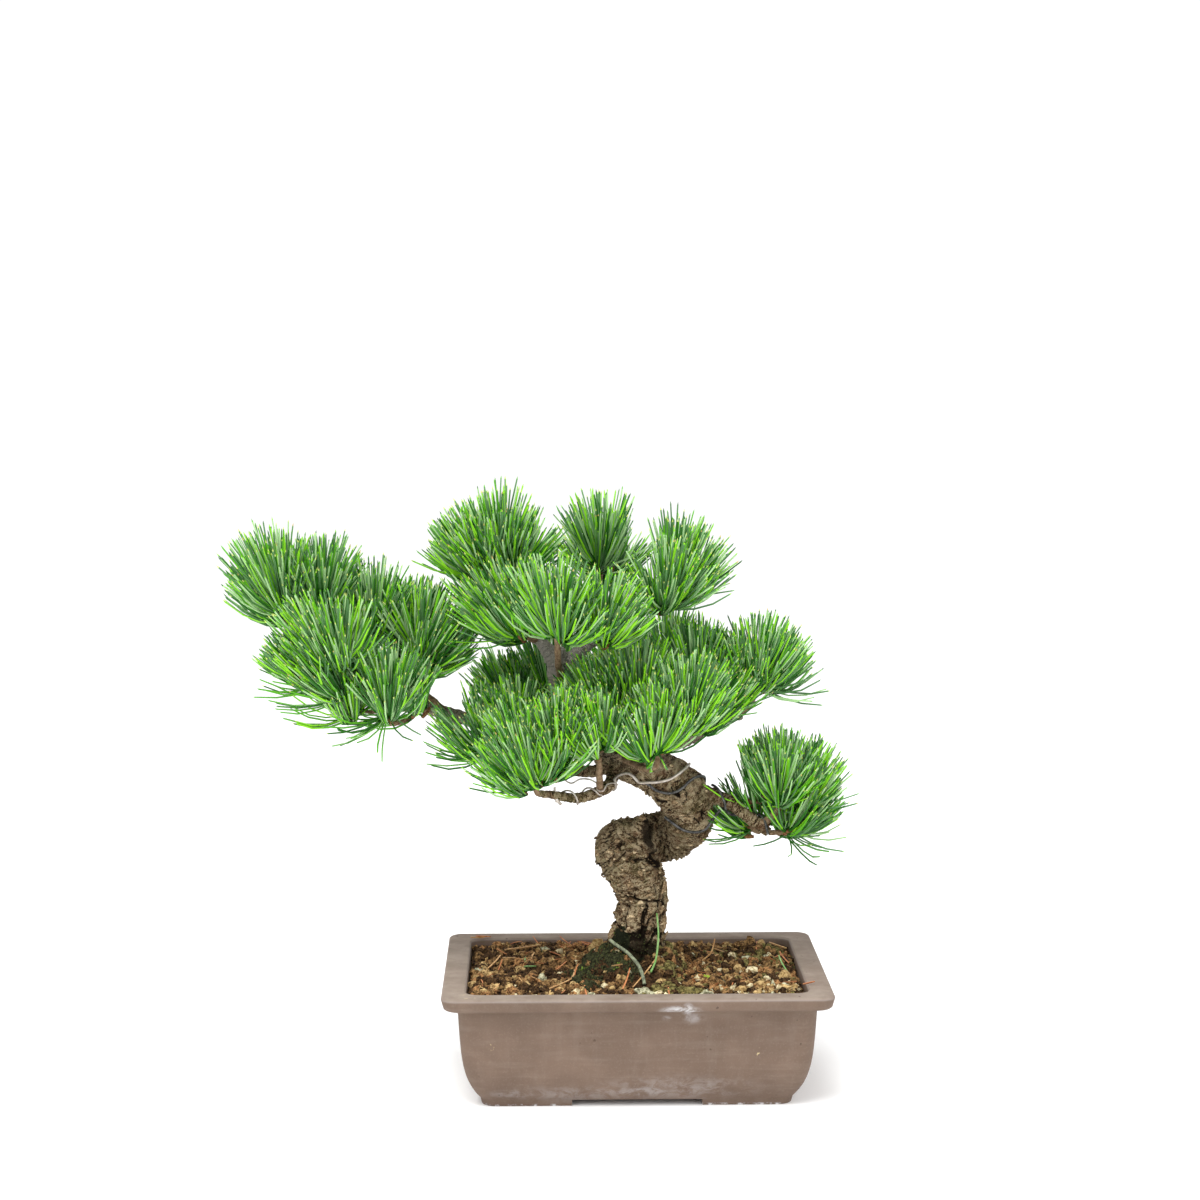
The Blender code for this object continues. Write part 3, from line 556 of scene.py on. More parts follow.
# The solid under the soil takes the darkest earth: partly dark fine soil, partly painted shade for the gaps between
# granules.
earth = two_tone("earth_bed_and_gap_shade", EARTH_COLOURS["earth_dark"], 0.95, 320, 0.6 * MM)
soil_solid.material_slots[0].material = earth.material

chance = random.Random("soil")


def earth_kind(x, y):
    """The finish of a crumb at a place: moss, olive with algae, ochre, or one of three browns."""
    if mossy(x, y) > 0.3 + chance.uniform(-0.15, 0.5):
        return MOSSY
    green = noise.noise(Vector((x * 30, y * 30, 3))) + 0.5 * (x > 10 * MM) + chance.uniform(-0.4, 0.4)
    if green > 0.75:
        return OLIVE
    reddish = noise.noise(Vector((x * 45, y * 45, 9))) + chance.uniform(-0.5, 0.5)
    if chance.random() < 0.12:
        return OCHREOUS
    return RED if reddish > 0.35 else BROWN if reddish > -0.2 else DARK


def crumb_places(count, sizes, shapes, sunk, dark_share):
    """Places, sizes, turns and finishes for crumbs all over the soil."""
    places = []
    for k in range(count):
        half = chance.triangular(*sizes, sizes[0] * 1.2)
        x = chance.uniform(-1, 1) * (SOIL_HALF_X - half)
        y = chance.uniform(-1, 1) * (SOIL_HALF_Y - half)
        z = soil_top(x, y) - half * (sunk + 0.8 * mossy(x, y)) + chance.uniform(-0.5, 0.6) * MM
        size = half * np.array([chance.uniform(0.8, 1.2), chance.uniform(0.75, 1.1), chance.uniform(0.65, 1.0)])
        kind = earth_kind(x, y)
        if kind != MOSSY and chance.random() < dark_share:
            kind = DARK
        places.append((k % shapes, POT_PLACE + Vector((x, y, z)), size, any_turn(chance), kind))
    return places


earth_finishes = [two_tone(n, c, 0.92, 620, 0.6 * MM) for n, c in EARTH_COLOURS.items()]
shape = bmesh.new()
bmesh.ops.create_grid(shape, x_segments=BED_CELLS[0], y_segments=BED_CELLS[1], size=1)
for vert in shape.verts:
    x = vert.co.x * (SOIL_HALF_X - MM)
    y = vert.co.y * (SOIL_HALF_Y - MM)
    rough = noise.noise(Vector((x * 330, y * 330, 1))) * 0.8 * MM
    vert.co = POT_PLACE + Vector((x, y, soil_top(x, y) + rough))
# The bed shows only between crumbs and granules, so its near-black earth is partly the fine soil's colour and partly
# painted shade in those gaps.
bed = new_piece("soil_bed_and_gap_shade", shape, [earth_finishes[DARK]])
bed.data.shade_smooth()
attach(bed, "root")
crumb_shapes = [crumb_shape(seed, 1, 0.9) for seed in range(8)]
# Over half of the small crumbs that fill the gaps are dark earth, partly dark soil and partly painted shade between
# granules.
crumbs = strew("soil_crumbs", crumb_shapes, crumb_places(CRUMBS, CRUMB_SIZES, 8, -0.1, 0.55), earth_finishes)
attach(crumbs, "root")
granule_shapes = [crumb_shape(seed + 40, 2, 0.75) for seed in range(8)]
granule_places = crumb_places(GRANULES, GRANULE_SIZES, 8, -0.2, 0.1)
for x, y, half in LARGE_GRANULES:
    place = POT_PLACE + Vector((x * MM, y * MM, soil_top(x * MM, y * MM) + half * 0.7 * MM))
    granule_places.append((int(half * 3) % 8, place, half * MM * np.array([1.1, 1.0, 0.95]), any_turn(chance), BROWN))
granules = strew("soil_granules", granule_shapes, granule_places, earth_finishes)
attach(granules, "root")

pebble_shapes = [crumb_shape(seed + 20, 2, 0.8) for seed in range(6)]
pebble_places = []
while len(pebble_places) < PEBBLES:
    x = chance.uniform(-1, 1) * (SOIL_HALF_X - 2 * MM)
    y = chance.uniform(-1, 1) * (SOIL_HALF_Y - 2 * MM)
    if chance.random() < pale_share(x, y):
        half = chance.triangular(*PEBBLE_SIZES, PEBBLE_SIZES[0] * 1.3)
        z = soil_top(x, y) + half * chance.uniform(0.1, 0.55)
        size = half * np.array([1.15, chance.uniform(0.75, 1.0), chance.uniform(0.6, 0.85)])
        kind = chance.choice((CREAM, CREAM, OCHRE, OCHRE, OCHRE, GREY))
        pebble_places.append((len(pebble_places) % 6, POT_PLACE + Vector((x, y, z)), size, any_turn(chance), kind))
for x, y, half, kind in LARGE_PEBBLES:
    place = POT_PLACE + Vector((x * MM, y * MM, soil_top(x * MM, y * MM) + half * 0.5 * MM))
    size = half * MM * np.array([1.15, 0.95, 0.8])
    pebble_places.append((kind, place, size, any_turn(chance), kind))
pumice_finishes = [two_tone(n, c, 0.85, 480, 0.5 * MM) for n, c in PEBBLE_COLOURS.items()]
pebbles = strew("pumice_grains", pebble_shapes, pebble_places, pumice_finishes)
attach(pebbles, "root")

STRAND_STEPS = np.array([0.0, 0.17, 0.4, 0.68, 0.965, 1.0])
STRAND_WIDTHS = np.array([0.7, 0.95, 1.0, 1.0, 0.8])
STRAND_CORNERS = np.radians([60.0, 180.0, 300.0])


def strands(name, rows, finishes):
    """Three-sided pointed needles as one object. Each row is a root, a direction, a bend, the
    way its back faces, a length, a width, and the finishes of its back, inside, tip and foot."""
    root, way, bend, back = (np.array([row[k] for row in rows], float) for k in range(4))
    length, width = (np.array([row[k] for row in rows], float)[:, None] for k in (4, 5))
    finish = np.array([row[6] for row in rows])
    rings = []
    speeds = [np.linalg.norm(way + 2 * bend * step, axis=1) for step in (0.0, 0.5, 1.0)]
    length = length * 6 / (speeds[0] + 4 * speeds[1] + speeds[2])[:, None]
    for step, share in zip(STRAND_STEPS[:-1], STRAND_WIDTHS):
        middle = root + length * (way * step + bend * step ** 2)
        along = way + 2 * bend * step
        along /= np.linalg.norm(along, axis=1)[:, None]
        side = np.cross(along, back)
        side /= np.linalg.norm(side, axis=1)[:, None]
        outward = np.cross(side, along)
        for angle in STRAND_CORNERS:
            reach = width * share * 0.577
            rings.append(middle + reach * (outward * math.cos(angle) + side * math.sin(angle)))
    rings.append(root + length * (way + bend))
    corners = np.stack(rings, axis=1).reshape(-1, 3)
    per_strand = len(rings)
    faces = [(0, 2, 1)]
    kinds = [3]
    for ring in range(len(STRAND_WIDTHS)):
        low = ring * 3
        for k in range(3):
            nxt = (k + 1) % 3
            top = ring == len(STRAND_WIDTHS) - 1
            upper = (per_strand - 1,) if top else (low + 3 + nxt, low + 3 + k)
            faces.append((low + k, low + nxt, *upper))
            kinds.append(2 if top else 3 if ring == 0 else 0 if k == 2 else 1)
    flat = np.array([corner for face in faces for corner in face])
    offsets = np.cumsum([0] + [len(face) for face in faces[:-1]])
    count = np.arange(len(rows))[:, None]
    loops = (flat[None, :] + count * per_strand).ravel()
    starts = (offsets[None, :] + count * len(flat)).ravel()
    return joined_mesh(name, corners, loops, starts, finish[:, kinds].ravel(), finishes)


dry_finishes = [
    two_tone("dry_needle_tan", ((0.44, 0.24, 0.10, 1), (0.64, 0.40, 0.19, 1)), 0.6, 300, 0.1 * MM),
    two_tone("dry_needle_red", ((0.34, 0.11, 0.045, 1), (0.56, 0.24, 0.10, 1)), 0.6, 300, 0.1 * MM),
    two_tone("fresh_needle", ((0.14, 0.30, 0.07, 1), (0.26, 0.42, 0.17, 1)), 0.5, 200, 0.1 * MM),
]
TAN, RUSSET, FRESH = range(3)
# Needles that lie where they show: both ends in millimetres, height above the soil and finish
LAID_NEEDLES = (
    (-72, 34, -51, 45, 3.0, TAN), (-81, -1, -74, 22, 3.0, TAN), (-61, -4, -54, -2, 2.5, FRESH),
    (-60, 22, -60, 8, 2.5, FRESH), (-47, -48, -35, -32, 2.5, TAN), (-35, -32, -33, -9, 2.5, TAN),
    (-28, -39, -27, -57, 2.5, RUSSET), (-13, -24, -7, -26, 2.0, TAN), (-2, -40, 13, -14, 2.0, TAN),
    (-36, 39, -30, 55, 2.5, RUSSET), (-29, 58, -24, 44, 3.5, RUSSET), (42, 17, 49, 23, 3.0, TAN),
    (82, 16, 85, -16, 3.0, FRESH), (79, 44, 89, 39, 4.0, TAN), (84, 32, 87, 7, 3.0, RUSSET), (87, 30, 80, 14, 3.0, RUSSET),
    (73, 52, 71, 34, 4.0, RUSSET), (-73, 19, -65, 20, 2.5, TAN), (-55, 27, -57, 15, 2.5, TAN),
    (-43, -6, -37, 11, 2.5, RUSSET), (-8, -48, -3, -28, 2.0, RUSSET), (17, -46, 17, -57, 2.5, RUSSET),
    (89, -49, 96, -45, 6.5, RUSSET), (-92, 58, -84, 60, 6.5, TAN), (-89, 60, -80, 61, 6.8, RUSSET),
)
# A dry needle and a green one that stand up out of the soil: points in millimetres
STANDING_NEEDLES = (
    (((39, 17, 61), (44, 16, 66), (46, 15, 74)), 0.9, TAN),
    (((8.2, -27, 66), (11.3, -22, 72), (12.8, -18.5, 84.5), (11.9, -17.5, 96.5)), 1.15, FRESH),
)
rows = []
for k in range(DRY_NEEDLES):
    x = chance.uniform(-0.93, 0.93) * SOIL_HALF_X
    y = chance.uniform(-0.9, 0.9) * SOIL_HALF_Y
    length = chance.uniform(4, 12) * MM
    heading = chance.uniform(0, 2 * math.pi)
    way = Vector((math.cos(heading), math.sin(heading), chance.uniform(-0.06, 0.3)))
    end = Vector((x, y, 0)) + way * length
    if abs(end.x) < SOIL_HALF_X - 2 * MM and abs(end.y) < SOIL_HALF_Y - 2 * MM and mound(x, y) < 4 * MM:
        start = POT_PLACE + Vector((x, y, soil_top(x, y) + 1.8 * MM))
        bend = Vector([chance.uniform(-0.3, 0.3) for k in range(3)])
        kind = chance.choice((TAN, RUSSET, RUSSET))
        rows.append((start, way, bend, (0, 0, 1), length, 0.6 * MM, (kind,) * 4))
for x0, y0, x1, y1, lift, kind in LAID_NEEDLES:
    ends = [Vector((x, y, 0)) * MM for x, y in ((x0, y0), (x1, y1))]
    for end in ends:
        inside = abs(end.x) < SOIL_HALF_X and abs(end.y) < SOIL_HALF_Y
        end.z = (soil_top(end.x, end.y) if inside else GROUND) + lift * MM
    reach = ends[1] - ends[0]
    bend = Vector((-reach.y, reach.x, 0)).normalized() * 0.09
    rows.append((POT_PLACE + ends[0], reach.normalized() - bend, bend, (0, 0, 1), reach.length, 0.85 * MM, (kind,) * 4))
fallen = strands("fallen_needles", rows, dry_finishes)
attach(fallen, "root")


# The trunk and main boughs are one living body of old pine wood: thick scaly bark in ochre
# and olive brown, cracked into plates at the foot and wrinkled into rings where the young
# trunk was bent, and thinner, greyer bark on the upper trunk and the boughs.
TRUNK_FOOT = GROUND + 0.3 * MM
LOWER_RUN = (
    (1.2, 1.0, TRUNK_FOOT / MM, 17.0),
    (1.2, 1.0, 66.0, 16.4),
    (1.4, 1.0, 75.0, 15.3),
    (3.2, -1.0, 90.0, 14.3),
    (5.4, -1.0, 100.5, 13.4),
    (2.4, -2.0, 111.0, 15.0),
    (-2.0, -2.5, 121.0, 16.0),
    (-6.4, 1.0, 129.5, 15.2),
    (-0.5, 7.0, 135.0, 11.2),
    (4.0, 11.0, 138.0, 6.0),
)
UPPER_RUN = (
    (-3.0, 6.0, 130.0, 10.0),
    (6.0, 17.0, 131.0, 13.0),
    (16.0, 22.0, 131.0, 14.2),
    (25.0, 19.5, 135.0, 14.2),
    (30.0, 11.5, 142.0, 14.2),
    (30.3, 2.0, 151.0, 13.8),
    (24.3, -5.5, 163.0, 14.2),
    (11.0, -6.5, 172.5, 12.8),
    (-2.0, -2.0, 176.0, 10.2),
    (-16.0, 5.0, 184.0, 8.8),
    (-29.5, 9.0, 198.0, 7.6),
    (-38.5, 8.0, 215.0, 6.9),
    (-42.0, 4.0, 231.0, 6.2),
    (-42.5, 2.0, 240.0, 5.0),
)
MAIN_BOUGHS = {
    "bough_left": ("trunk", 0.735, 5.2, 3.2, ((-60, 13, 192), (-112, 9, 206), (-134, 4, 217))),
    "bough_mid_left": ("trunk", 0.655, 4.4, 2.6, ((-20, -7, 174), (-48, -18, 177))),
    "bough_low_left": ("trunk", 0.62, 4.0, 1.9,
                       ((-14, -12, 167), (-30, -21, 161.5), (-45, -31, 165), (-53, -38, 167))),
    "bough_low_right": ("trunk", 0.47, 4.8, 3.0, ((50, -3, 156), (61, -5, 149), (74, -8, 139))),
    "bough_right": ("trunk", 0.60, 6.2, 3.2, ((30, 3, 191), (45, 7, 201), (60, 4, 203))),
    "bough_top_left": ("trunk", 0.945, 4.2, 2.8, ((-52, 1, 245), (-64, 1, 252))),
    "bough_top_right": ("trunk", 0.925, 4.4, 2.6, ((-24, 4, 243), (-6, 7, 251))),
    "bough_back": ("trunk", 0.82, 4.6, 2.8, ((-30, 28, 201), (-42, 41, 204))),
}
LIMB_STEPS = 2
FINE_STEPS = 10
WOOD_VOXEL = 0.62 * MM
FLARE_HEIGHT = 9 * MM
FLARE_WIDTH = 0.30
FLARE_LOBES = 5
# Cuts that show in the front of the old bark: points across and up, in millimetres from the
# pot's middle at the table, then the half breadth and the depth
RIFTS = (
    (((6.0, 150), (8.2, 140), (9.8, 133), (12.3, 124)), 2.2, 5.5),
    (((-9.5, 139.5), (-3, 138.6), (2.6, 137.8), (6, 136)), 0.8, 1.8),
    (((-8.7, 132), (-6.6, 137)), 0.6, 1.1),
    (((-8, 129.5), (-1, 127.5), (5.6, 126), (9, 124)), 1.2, 0.8),
    (((-12, 104.5), (-4, 104.6), (3, 103.0), (10, 102.6), (17, 101)), 0.8, 1.7),
    (((6.3, 100), (5.2, 92), (4.2, 87), (3.2, 81)), 0.9, 1.6),
    (((11, 112), (12.1, 106)), 0.6, 1.1),
    (((-14.5, 113), (-11, 106)), 0.9, 1.8),
    (((-13, 90), (-8, 86), (-4, 82)), 0.9, 1.8),
    (((12, 98), (11, 90), (13, 80)), 0.6, 1.2),
)
# Colours of the bark from its pits to its crests, and the values between which each takes over; the pit colour is also
# painted shade in the gaps, rifts, cleft and hollow foot
BARK_PIT = (0.014, 0.008, 0.0035, 1)
BARK_STEPS = (
    ((0.066, 0.038, 0.017, 1), 0.16, 0.30),
    ((0.135, 0.085, 0.043, 1), 0.30, 0.43),
    ((0.230, 0.155, 0.083, 1), 0.43, 0.56),
    ((0.370, 0.265, 0.150, 1), 0.56, 0.70),
    ((0.600, 0.480, 0.300, 1), 0.70, 0.86),
)
BARK_OLIVE = (0.150, 0.135, 0.050, 1)
BARK_RUST = (0.210, 0.105, 0.055, 1)
BARK_GREY = (0.34, 0.29, 0.225, 1)
BARK_PALE = (0.54, 0.48, 0.40, 1)
BARK_CHALKY = (0.62, 0.58, 0.53, 1)
MOSS_BLACK = (0.020, 0.024, 0.011, 1)
MOSS_GREEN = (0.050, 0.105, 0.018, 1)
CHIPS = 900
CHIP_SIZES = (0.6 * MM, 2.4 * MM)
CHIP_THICKNESS = 0.35 * MM
# A short dead stub beside the cleft at the top of the first bend: points and radii in millimetres
DEAD_STUB = ((1, 0, 137, 6.0), (3.6, -2.5, 142, 5.0), (4.8, -4, 146, 3.8))
# Loose plates that stand out at the sides of the trunk: place, and half sizes up and across
LOOSE_PLATES = (
    ((-16, -8, 84), 5.5, 2.4), ((17, -8, 109), 4.5, 2.2), ((17, -6, 88), 4.5, 2.2), ((16, -10, 96), 2.4, 3.0),
    ((-12, -8, 108), 4.0, 1.8), ((-20, -6, 129), 3.5, 2.4), ((4, -4, 146), 3.0, 2.2), ((17, -6, 80), 5.0, 2.2),
)


def smooth_path(stations, steps):
    """Points of a Catmull-Rom curve through stations of any number of values."""
    path = []
    last = len(stations) - 1
    for k in range(last):
        a, b, c, d = (stations[min(max(k + shift, 0), last)] for shift in (-1, 0, 1, 2))
        for step in range(steps):
            t = step / steps
            values = []
            for p, q, r, s in zip(a, b, c, d):
                curve = (2 * p - 5 * q + 4 * r - s) * t * t + (3 * q - p - 3 * r + s) * t ** 3
                values.append(q + 0.5 * ((r - p) * t + curve))
            path.append(values)
    path.append(list(stations[-1]))
    return path


class Limb:
    """A round, tapering limb along a path, measured from the pot's middle."""

    def __init__(self, points, radii):
        self.points = [Vector(point) for point in points]
        self.radii = list(radii)

    def at(self, place):
        """Point, direction and radius at a part of the way along, from 0 to 1."""
        steps = [(b - a).length for a, b in zip(self.points, self.points[1:])]
        left = place * sum(steps)
        k = 0
        while k < len(steps) - 1 and left > steps[k]:
            left -= steps[k]
            k += 1
        part = min(left / steps[k], 1.0)
        point = self.points[k].lerp(self.points[k + 1], part)
        direction = (self.points[k + 1] - self.points[k]).normalized()
        return point, direction, self.radii[k] + (self.radii[k + 1] - self.radii[k]) * part


def limb_through(stations, steps):
    path = smooth_path(stations, steps)
    return Limb([Vector(values[:3]) * MM for values in path], [values[3] * MM for values in path])


def bough_stations(parent, place, root_radius, tip_radius, through):
    stations = [tuple(parent.at(place)[0] / MM)] + [tuple(point) for point in through]
    last = len(stations) - 1
    radii = [root_radius + (tip_radius - root_radius) * k / last for k in range(last + 1)]
    return [(*point, radius) for point, radius in zip(stations, radii)]


def limb_piece(name, limbs, roundness, finishes=()):
    """Closed tubes along limbs, as one mesh object in the row's frame."""
    curve = bpy.data.curves.new(name, "CURVE")
    curve.dimensions = "3D"
    curve.bevel_depth = 1.0
    curve.bevel_resolution = roundness
    curve.use_fill_caps = True
    for limb in limbs:
        spline = curve.splines.new("POLY")
        spline.points.add(len(limb.points) - 1)
        for point, place, radius in zip(spline.points, limb.points, limb.radii):
            point.co = (*(place + POT_PLACE), 1)
            point.radius = radius
    guide = bpy.data.objects.new(name + "_guide", curve)
    bpy.context.scene.collection.objects.link(guide)
    made = bpy.data.objects.new(name, evaluated_copy(guide))
    bpy.context.scene.collection.objects.link(made)
    bpy.data.objects.remove(guide, do_unlink=True)
    made.data.materials.clear()
    for finish in finishes:
        made.data.materials.append(finish.material)
    made.data.shade_smooth()
    return made


def evaluated_copy(source):
    graph = bpy.context.evaluated_depsgraph_get()
    return bpy.data.meshes.new_from_object(source.evaluated_get(graph))


rough_trunk = limb_through(UPPER_RUN, LIMB_STEPS)
limbs = {"trunk": rough_trunk}
fine_limbs = [limb_through(LOWER_RUN, FINE_STEPS), limb_through(UPPER_RUN, FINE_STEPS)]
for bough_name, (parent, place, root, tip, through) in MAIN_BOUGHS.items():
    stations = bough_stations(limbs[parent], place, root, tip, through)
    limbs[bough_name] = limb_through(stations, LIMB_STEPS)
    fine = limb_through(stations, FINE_STEPS)
    collar = root * MM * 2.2
    for k, point in enumerate(fine.points):
        off = (point - fine.points[0]).length / collar
        fine.radii[k] *= 1 + 0.35 * math.exp(-off * off)
    fine_limbs.append(fine)

fine_limbs.append(limb_through(DEAD_STUB, FINE_STEPS))

# Samples along every limb, each with its own axes, so that the bark can follow the limb
samples = []
for number, limb in enumerate(fine_limbs):
    travelled = 0.0
    across = None
    for k, point in enumerate(limb.points):
        before = limb.points[max(k - 1, 0)]
        after = limb.points[min(k + 1, len(limb.points) - 1)]
        along = (after - before).normalized()
        travelled += (point - before).length
        if across is None:
            across = Vector((0, 1, 0)).cross(along)
        across = (across - along * across.dot(along)).normalized()
        samples.append((point, along, across.copy(), along.cross(across), travelled, limb.radii[k], number))
sample_tree = KDTree(len(samples))
for k, sample in enumerate(samples):
    sample_tree.insert(sample[0], k)
sample_tree.balance()


def straightened(point):
    """A point as if its limb were a straight pole, with the limb's radius and number there."""
    near = sample_tree.find_n(point, 8)
    k = min(near, key=lambda found: found[2] / samples[found[1]][5])[1]
    middle, along, across, other, travelled, radius, number = samples[k]
    off = point - middle
    return Vector((off.dot(across), off.dot(other), travelled + off.dot(along))), radius, number


def step_up(value, low, high):
    part = min(max((value - low) / (high - low), 0.0), 1.0)
    return part * part * (3 - 2 * part)


def plate(place, breadth):
    """How far the bark plate at a place stands out, from -1 to 1, and 1 in the gap at its edge."""
    far, middles = noise.voronoi(place)
    return noise.cell(middles[0] * 9.7), 1 - step_up(far[1] - far[0], breadth * 0.3, breadth)


def rift_depth(point):
    """Depth in millimetres of the named cuts at a point of the wood."""
    deepest = 0.0
    spot = Vector((point.x, point.z)) / MM
    spot += Vector((noise.noise(point * 210), noise.noise(point * 210 + UPWARD))) * 0.9
    for line, breadth, depth in RIFTS:
        for start, end in zip(line, line[1:]):
            start, end = Vector(start), Vector(end)
            along = min(max((spot - start).dot(end - start) / (end - start).length_squared, 0.0), 1.0)
            off = (spot - start.lerp(end, along)).length / breadth
            if off < 2.5:
                deepest = max(deepest, depth * math.exp(-off * off))
    return deepest * (1 - step_up(point.y, 1 * MM, 6 * MM))


def bark_relief(straight, radius, number):
    """How far the bark stands out at a point of the wood, how much painted shade it gets in the gaps between plates and
    scales and under the lips of its ledges, and how pale it is, partly its own paler crests and partly painted
    highlight. Low on the trunk it is split into plates, and above it is wrinkled round."""
    old = min(radius / (13 * MM), 1.0)
    warp = noise.noise_vector(straight * 95) * 2.0 * MM + noise.noise_vector(straight * 330) * 0.8 * MM
    spot = straight + warp
    ringed = 1.0 if number else step_up(straight.z, 40 * MM, 50 * MM)
    plated = 1 - ringed
    own, gap = plate(Vector((spot.x, spot.y, spot.z * 0.55)) * 100, 0.13)
    ridge = abs(noise.noise(Vector((spot.x, spot.y, spot.z * 0.5)) * 330)) - 0.2
    around = Vector((spot.x * 0.26, spot.y * 0.26, spot.z))
    wander = 2.6 * noise.noise(Vector((straight.x * 0.5, straight.y * 0.5, straight.z)) * 80)
    part = (straight.z * 240 + wander + 0.6 * noise.noise(straight * 240)) % 1.0
    ledged = step_up(noise.noise(straight * 62 + UPWARD), -0.25, 0.15)
    under = ledged * step_up(part, 0.78, 0.94)
    scale, split = plate(Vector((spot.x * 0.55, spot.y * 0.55, spot.z)) * 310, 0.2)
    fold = abs(noise.noise(around * 150)) - 0.2
    wrinkle = abs(noise.noise(around * 420)) - 0.2
    flake = noise.noise(Vector((spot.x * 0.6, spot.y * 0.6, spot.z)) * 520)
    grit = noise.noise(straight * 1000)
    lumps = 1.3 * noise.noise(straight * 52) + 0.7 * noise.noise(around * 110)
    rings = 1.8 * ledged * (0.5 - part) + 0.25 * scale - 0.3 * split + 1.5 * fold
    rise = old * (lumps - 0.4 + plated * (1.1 * own - 1.2 * gap) + ringed * rings)
    rise += (0.4 + 0.6 * old) * (1.0 * ringed * wrinkle + 1.4 * plated * ridge + 0.4 * flake + 0.3 * grit)
    # Paleness follows the relief: crests, lips and wrinkles are paler, partly their own colour and partly painted
    # highlight.
    pale_and_highlight = ringed * (0.5 * ledged * (0.5 - part) + 0.16 * scale + 0.9 * fold + 1.0 * wrinkle)
    pale_and_highlight += plated * (0.25 * own + 1.5 * ridge) + 0.5 * flake + 0.5 * grit
    gap_shade = max(0.8 * gap * plated, 0.8 * under * ringed, 0.3 * split * ringed)
    return rise * MM, gap_shade * (0.4 + 0.6 * old), pale_and_highlight


wood = limb_piece("wood", fine_limbs, 10)
remesh = wood.modifiers.new("fused", "REMESH")
remesh.mode = "VOXEL"
remesh.voxel_size = WOOD_VOXEL
even = wood.modifiers.new("even", "SMOOTH")
even.iterations = 3
settle(wood)

vertices = wood.data.vertices
gap_shades = np.zeros(len(vertices), np.float32)
pales_and_highlights = np.zeros(len(vertices), np.float32)
lies = np.zeros((len(vertices), 3), np.float32)
moved = np.zeros((len(vertices), 3), np.float32)
for k, vertex in enumerate(vertices):
    point = vertex.co - POT_PLACE
    straight, radius, number = straightened(point)
    rise, gap_shades[k], pales_and_highlights[k] = bark_relief(straight, radius, number)
    if number == 0:
        lobes = 0.65 + 0.35 * math.cos(FLARE_LOBES * math.atan2(straight.y, straight.x) + 0.6)
        height = (point.z - TRUNK_FOOT) / FLARE_HEIGHT
        rise += radius * FLARE_WIDTH * math.exp(-max(height, 0)) * lobes
    if number < 2 and point.z < 152 * MM:
        cut = rift_depth(point)
        rise -= cut * MM
        # The rift cuts get painted shade as deep as they are cut.
        gap_shades[k] = max(gap_shades[k], min(cut * 0.5, 1.0))
    moved[k] = vertex.co + vertex.normal * rise
    moved[k][2] = max(moved[k][2], TRUNK_FOOT)
    lies[k] = straight
vertices.foreach_set("co", moved.ravel())
wood.data.update()
pales_and_highlights = 0.5 + 0.16 * (pales_and_highlights - pales_and_highlights.mean()) / pales_and_highlights.std()
wood.data.attributes.new("gap", "FLOAT", "POINT").data.foreach_set("value", gap_shades)
wood.data.attributes.new("pale_and_highlight", "FLOAT", "POINT").data.foreach_set("value", pales_and_highlights)
wood.data.attributes.new("lie", "FLOAT_VECTOR", "POINT").data.foreach_set("vector", lies.ravel())
wood.data.shade_smooth()

bark = Finish("old_bark", 0.88, 0.1)
gap = bark.node("ShaderNodeAttribute", {"attribute_name": "gap"}, output="Fac")
pale_and_highlight = bark.node("ShaderNodeAttribute", {"attribute_name": "pale_and_highlight"}, output="Fac")
lie = bark.node("ShaderNodeAttribute", {"attribute_name": "lie"}, output="Vector")
height = bark.node("ShaderNodeSeparateXYZ", None, {0: bark.place}, output="Z")
wrinkled = height.between(96 * MM, 106 * MM)
patches = bark.grain(85, 4, 0.6, twist=0.6)
streaks = bark.grain(700, 5, 0.7, stretch=(0.3, 0.3, 1), twist=0.5, over=lie)
flecks = bark.grain(560, 5, 0.7, stretch=(1, 1, 0.6), twist=0.4, over=lie)
grains = bark.grain(1500, 3, 0.65)
fibre = streaks * wrinkled + flecks * (1 - wrinkled)
shard, edge = bark.shards(380, (0.45, 0.45, 1.2), lie, 0.0030)
chip, chip_edge = bark.shards(850, (0.5, 0.5, 1.2), lie, 0.0014)
# The value, and with it the colour, is paler where the relief stands out: partly the bark's own paler crests, partly
# painted highlight.
value = 0.70 + (pale_and_highlight - 0.5) * 0.8 + (fibre - 0.5) * 2.5 + (grains - 0.5) * 2.4 + (patches - 0.5) * 0.6
value = value + (shard - 0.5) * 0.24 + (chip - 0.5) * 0.3 - (1 - edge.between(0.0, 0.1)) * 0.16
tone = BARK_PIT
for step_colour, step_low, step_high in BARK_STEPS:
    tone = bark.mix(value.between(step_low, step_high), tone, step_colour)
tone = bark.mix(bark.grain(70, 3, 0.6).between(0.45, 0.68) * 0.4, tone, BARK_OLIVE)
tone = bark.mix(bark.grain(150, 4, 0.65, twist=0.5).between(0.50, 0.64) * 0.5, tone, BARK_RUST)
young = height.between(172 * MM, 200 * MM)
grey = bark.mix(value.between(0.35, 0.75), BARK_GREY, BARK_PALE)
tone = bark.mix(young * 0.85, tone, grey)
tone = bark.mix(height.between(205 * MM, 226 * MM) * 0.6, tone, BARK_CHALKY)
# Painted shade: near black in the gaps between plates and scales, under each ledge's lip and in the rifts
tone = bark.mix(gap.between(0.1, 0.7) * (1 - 0.5 * young), tone, BARK_PIT)
# Painted shade: the cleft between the knob and the bend, and the groove below it, painted near black.
cleft_shade = bark.patch((8.5, -4, 140), (7, 22, 18)).most(bark.patch((11, -8, 125), (7, 16, 8)))
tone = bark.mix((cleft_shade + (flecks - 0.5)).between(0.15, 0.75) * 0.92, tone, BARK_PIT)
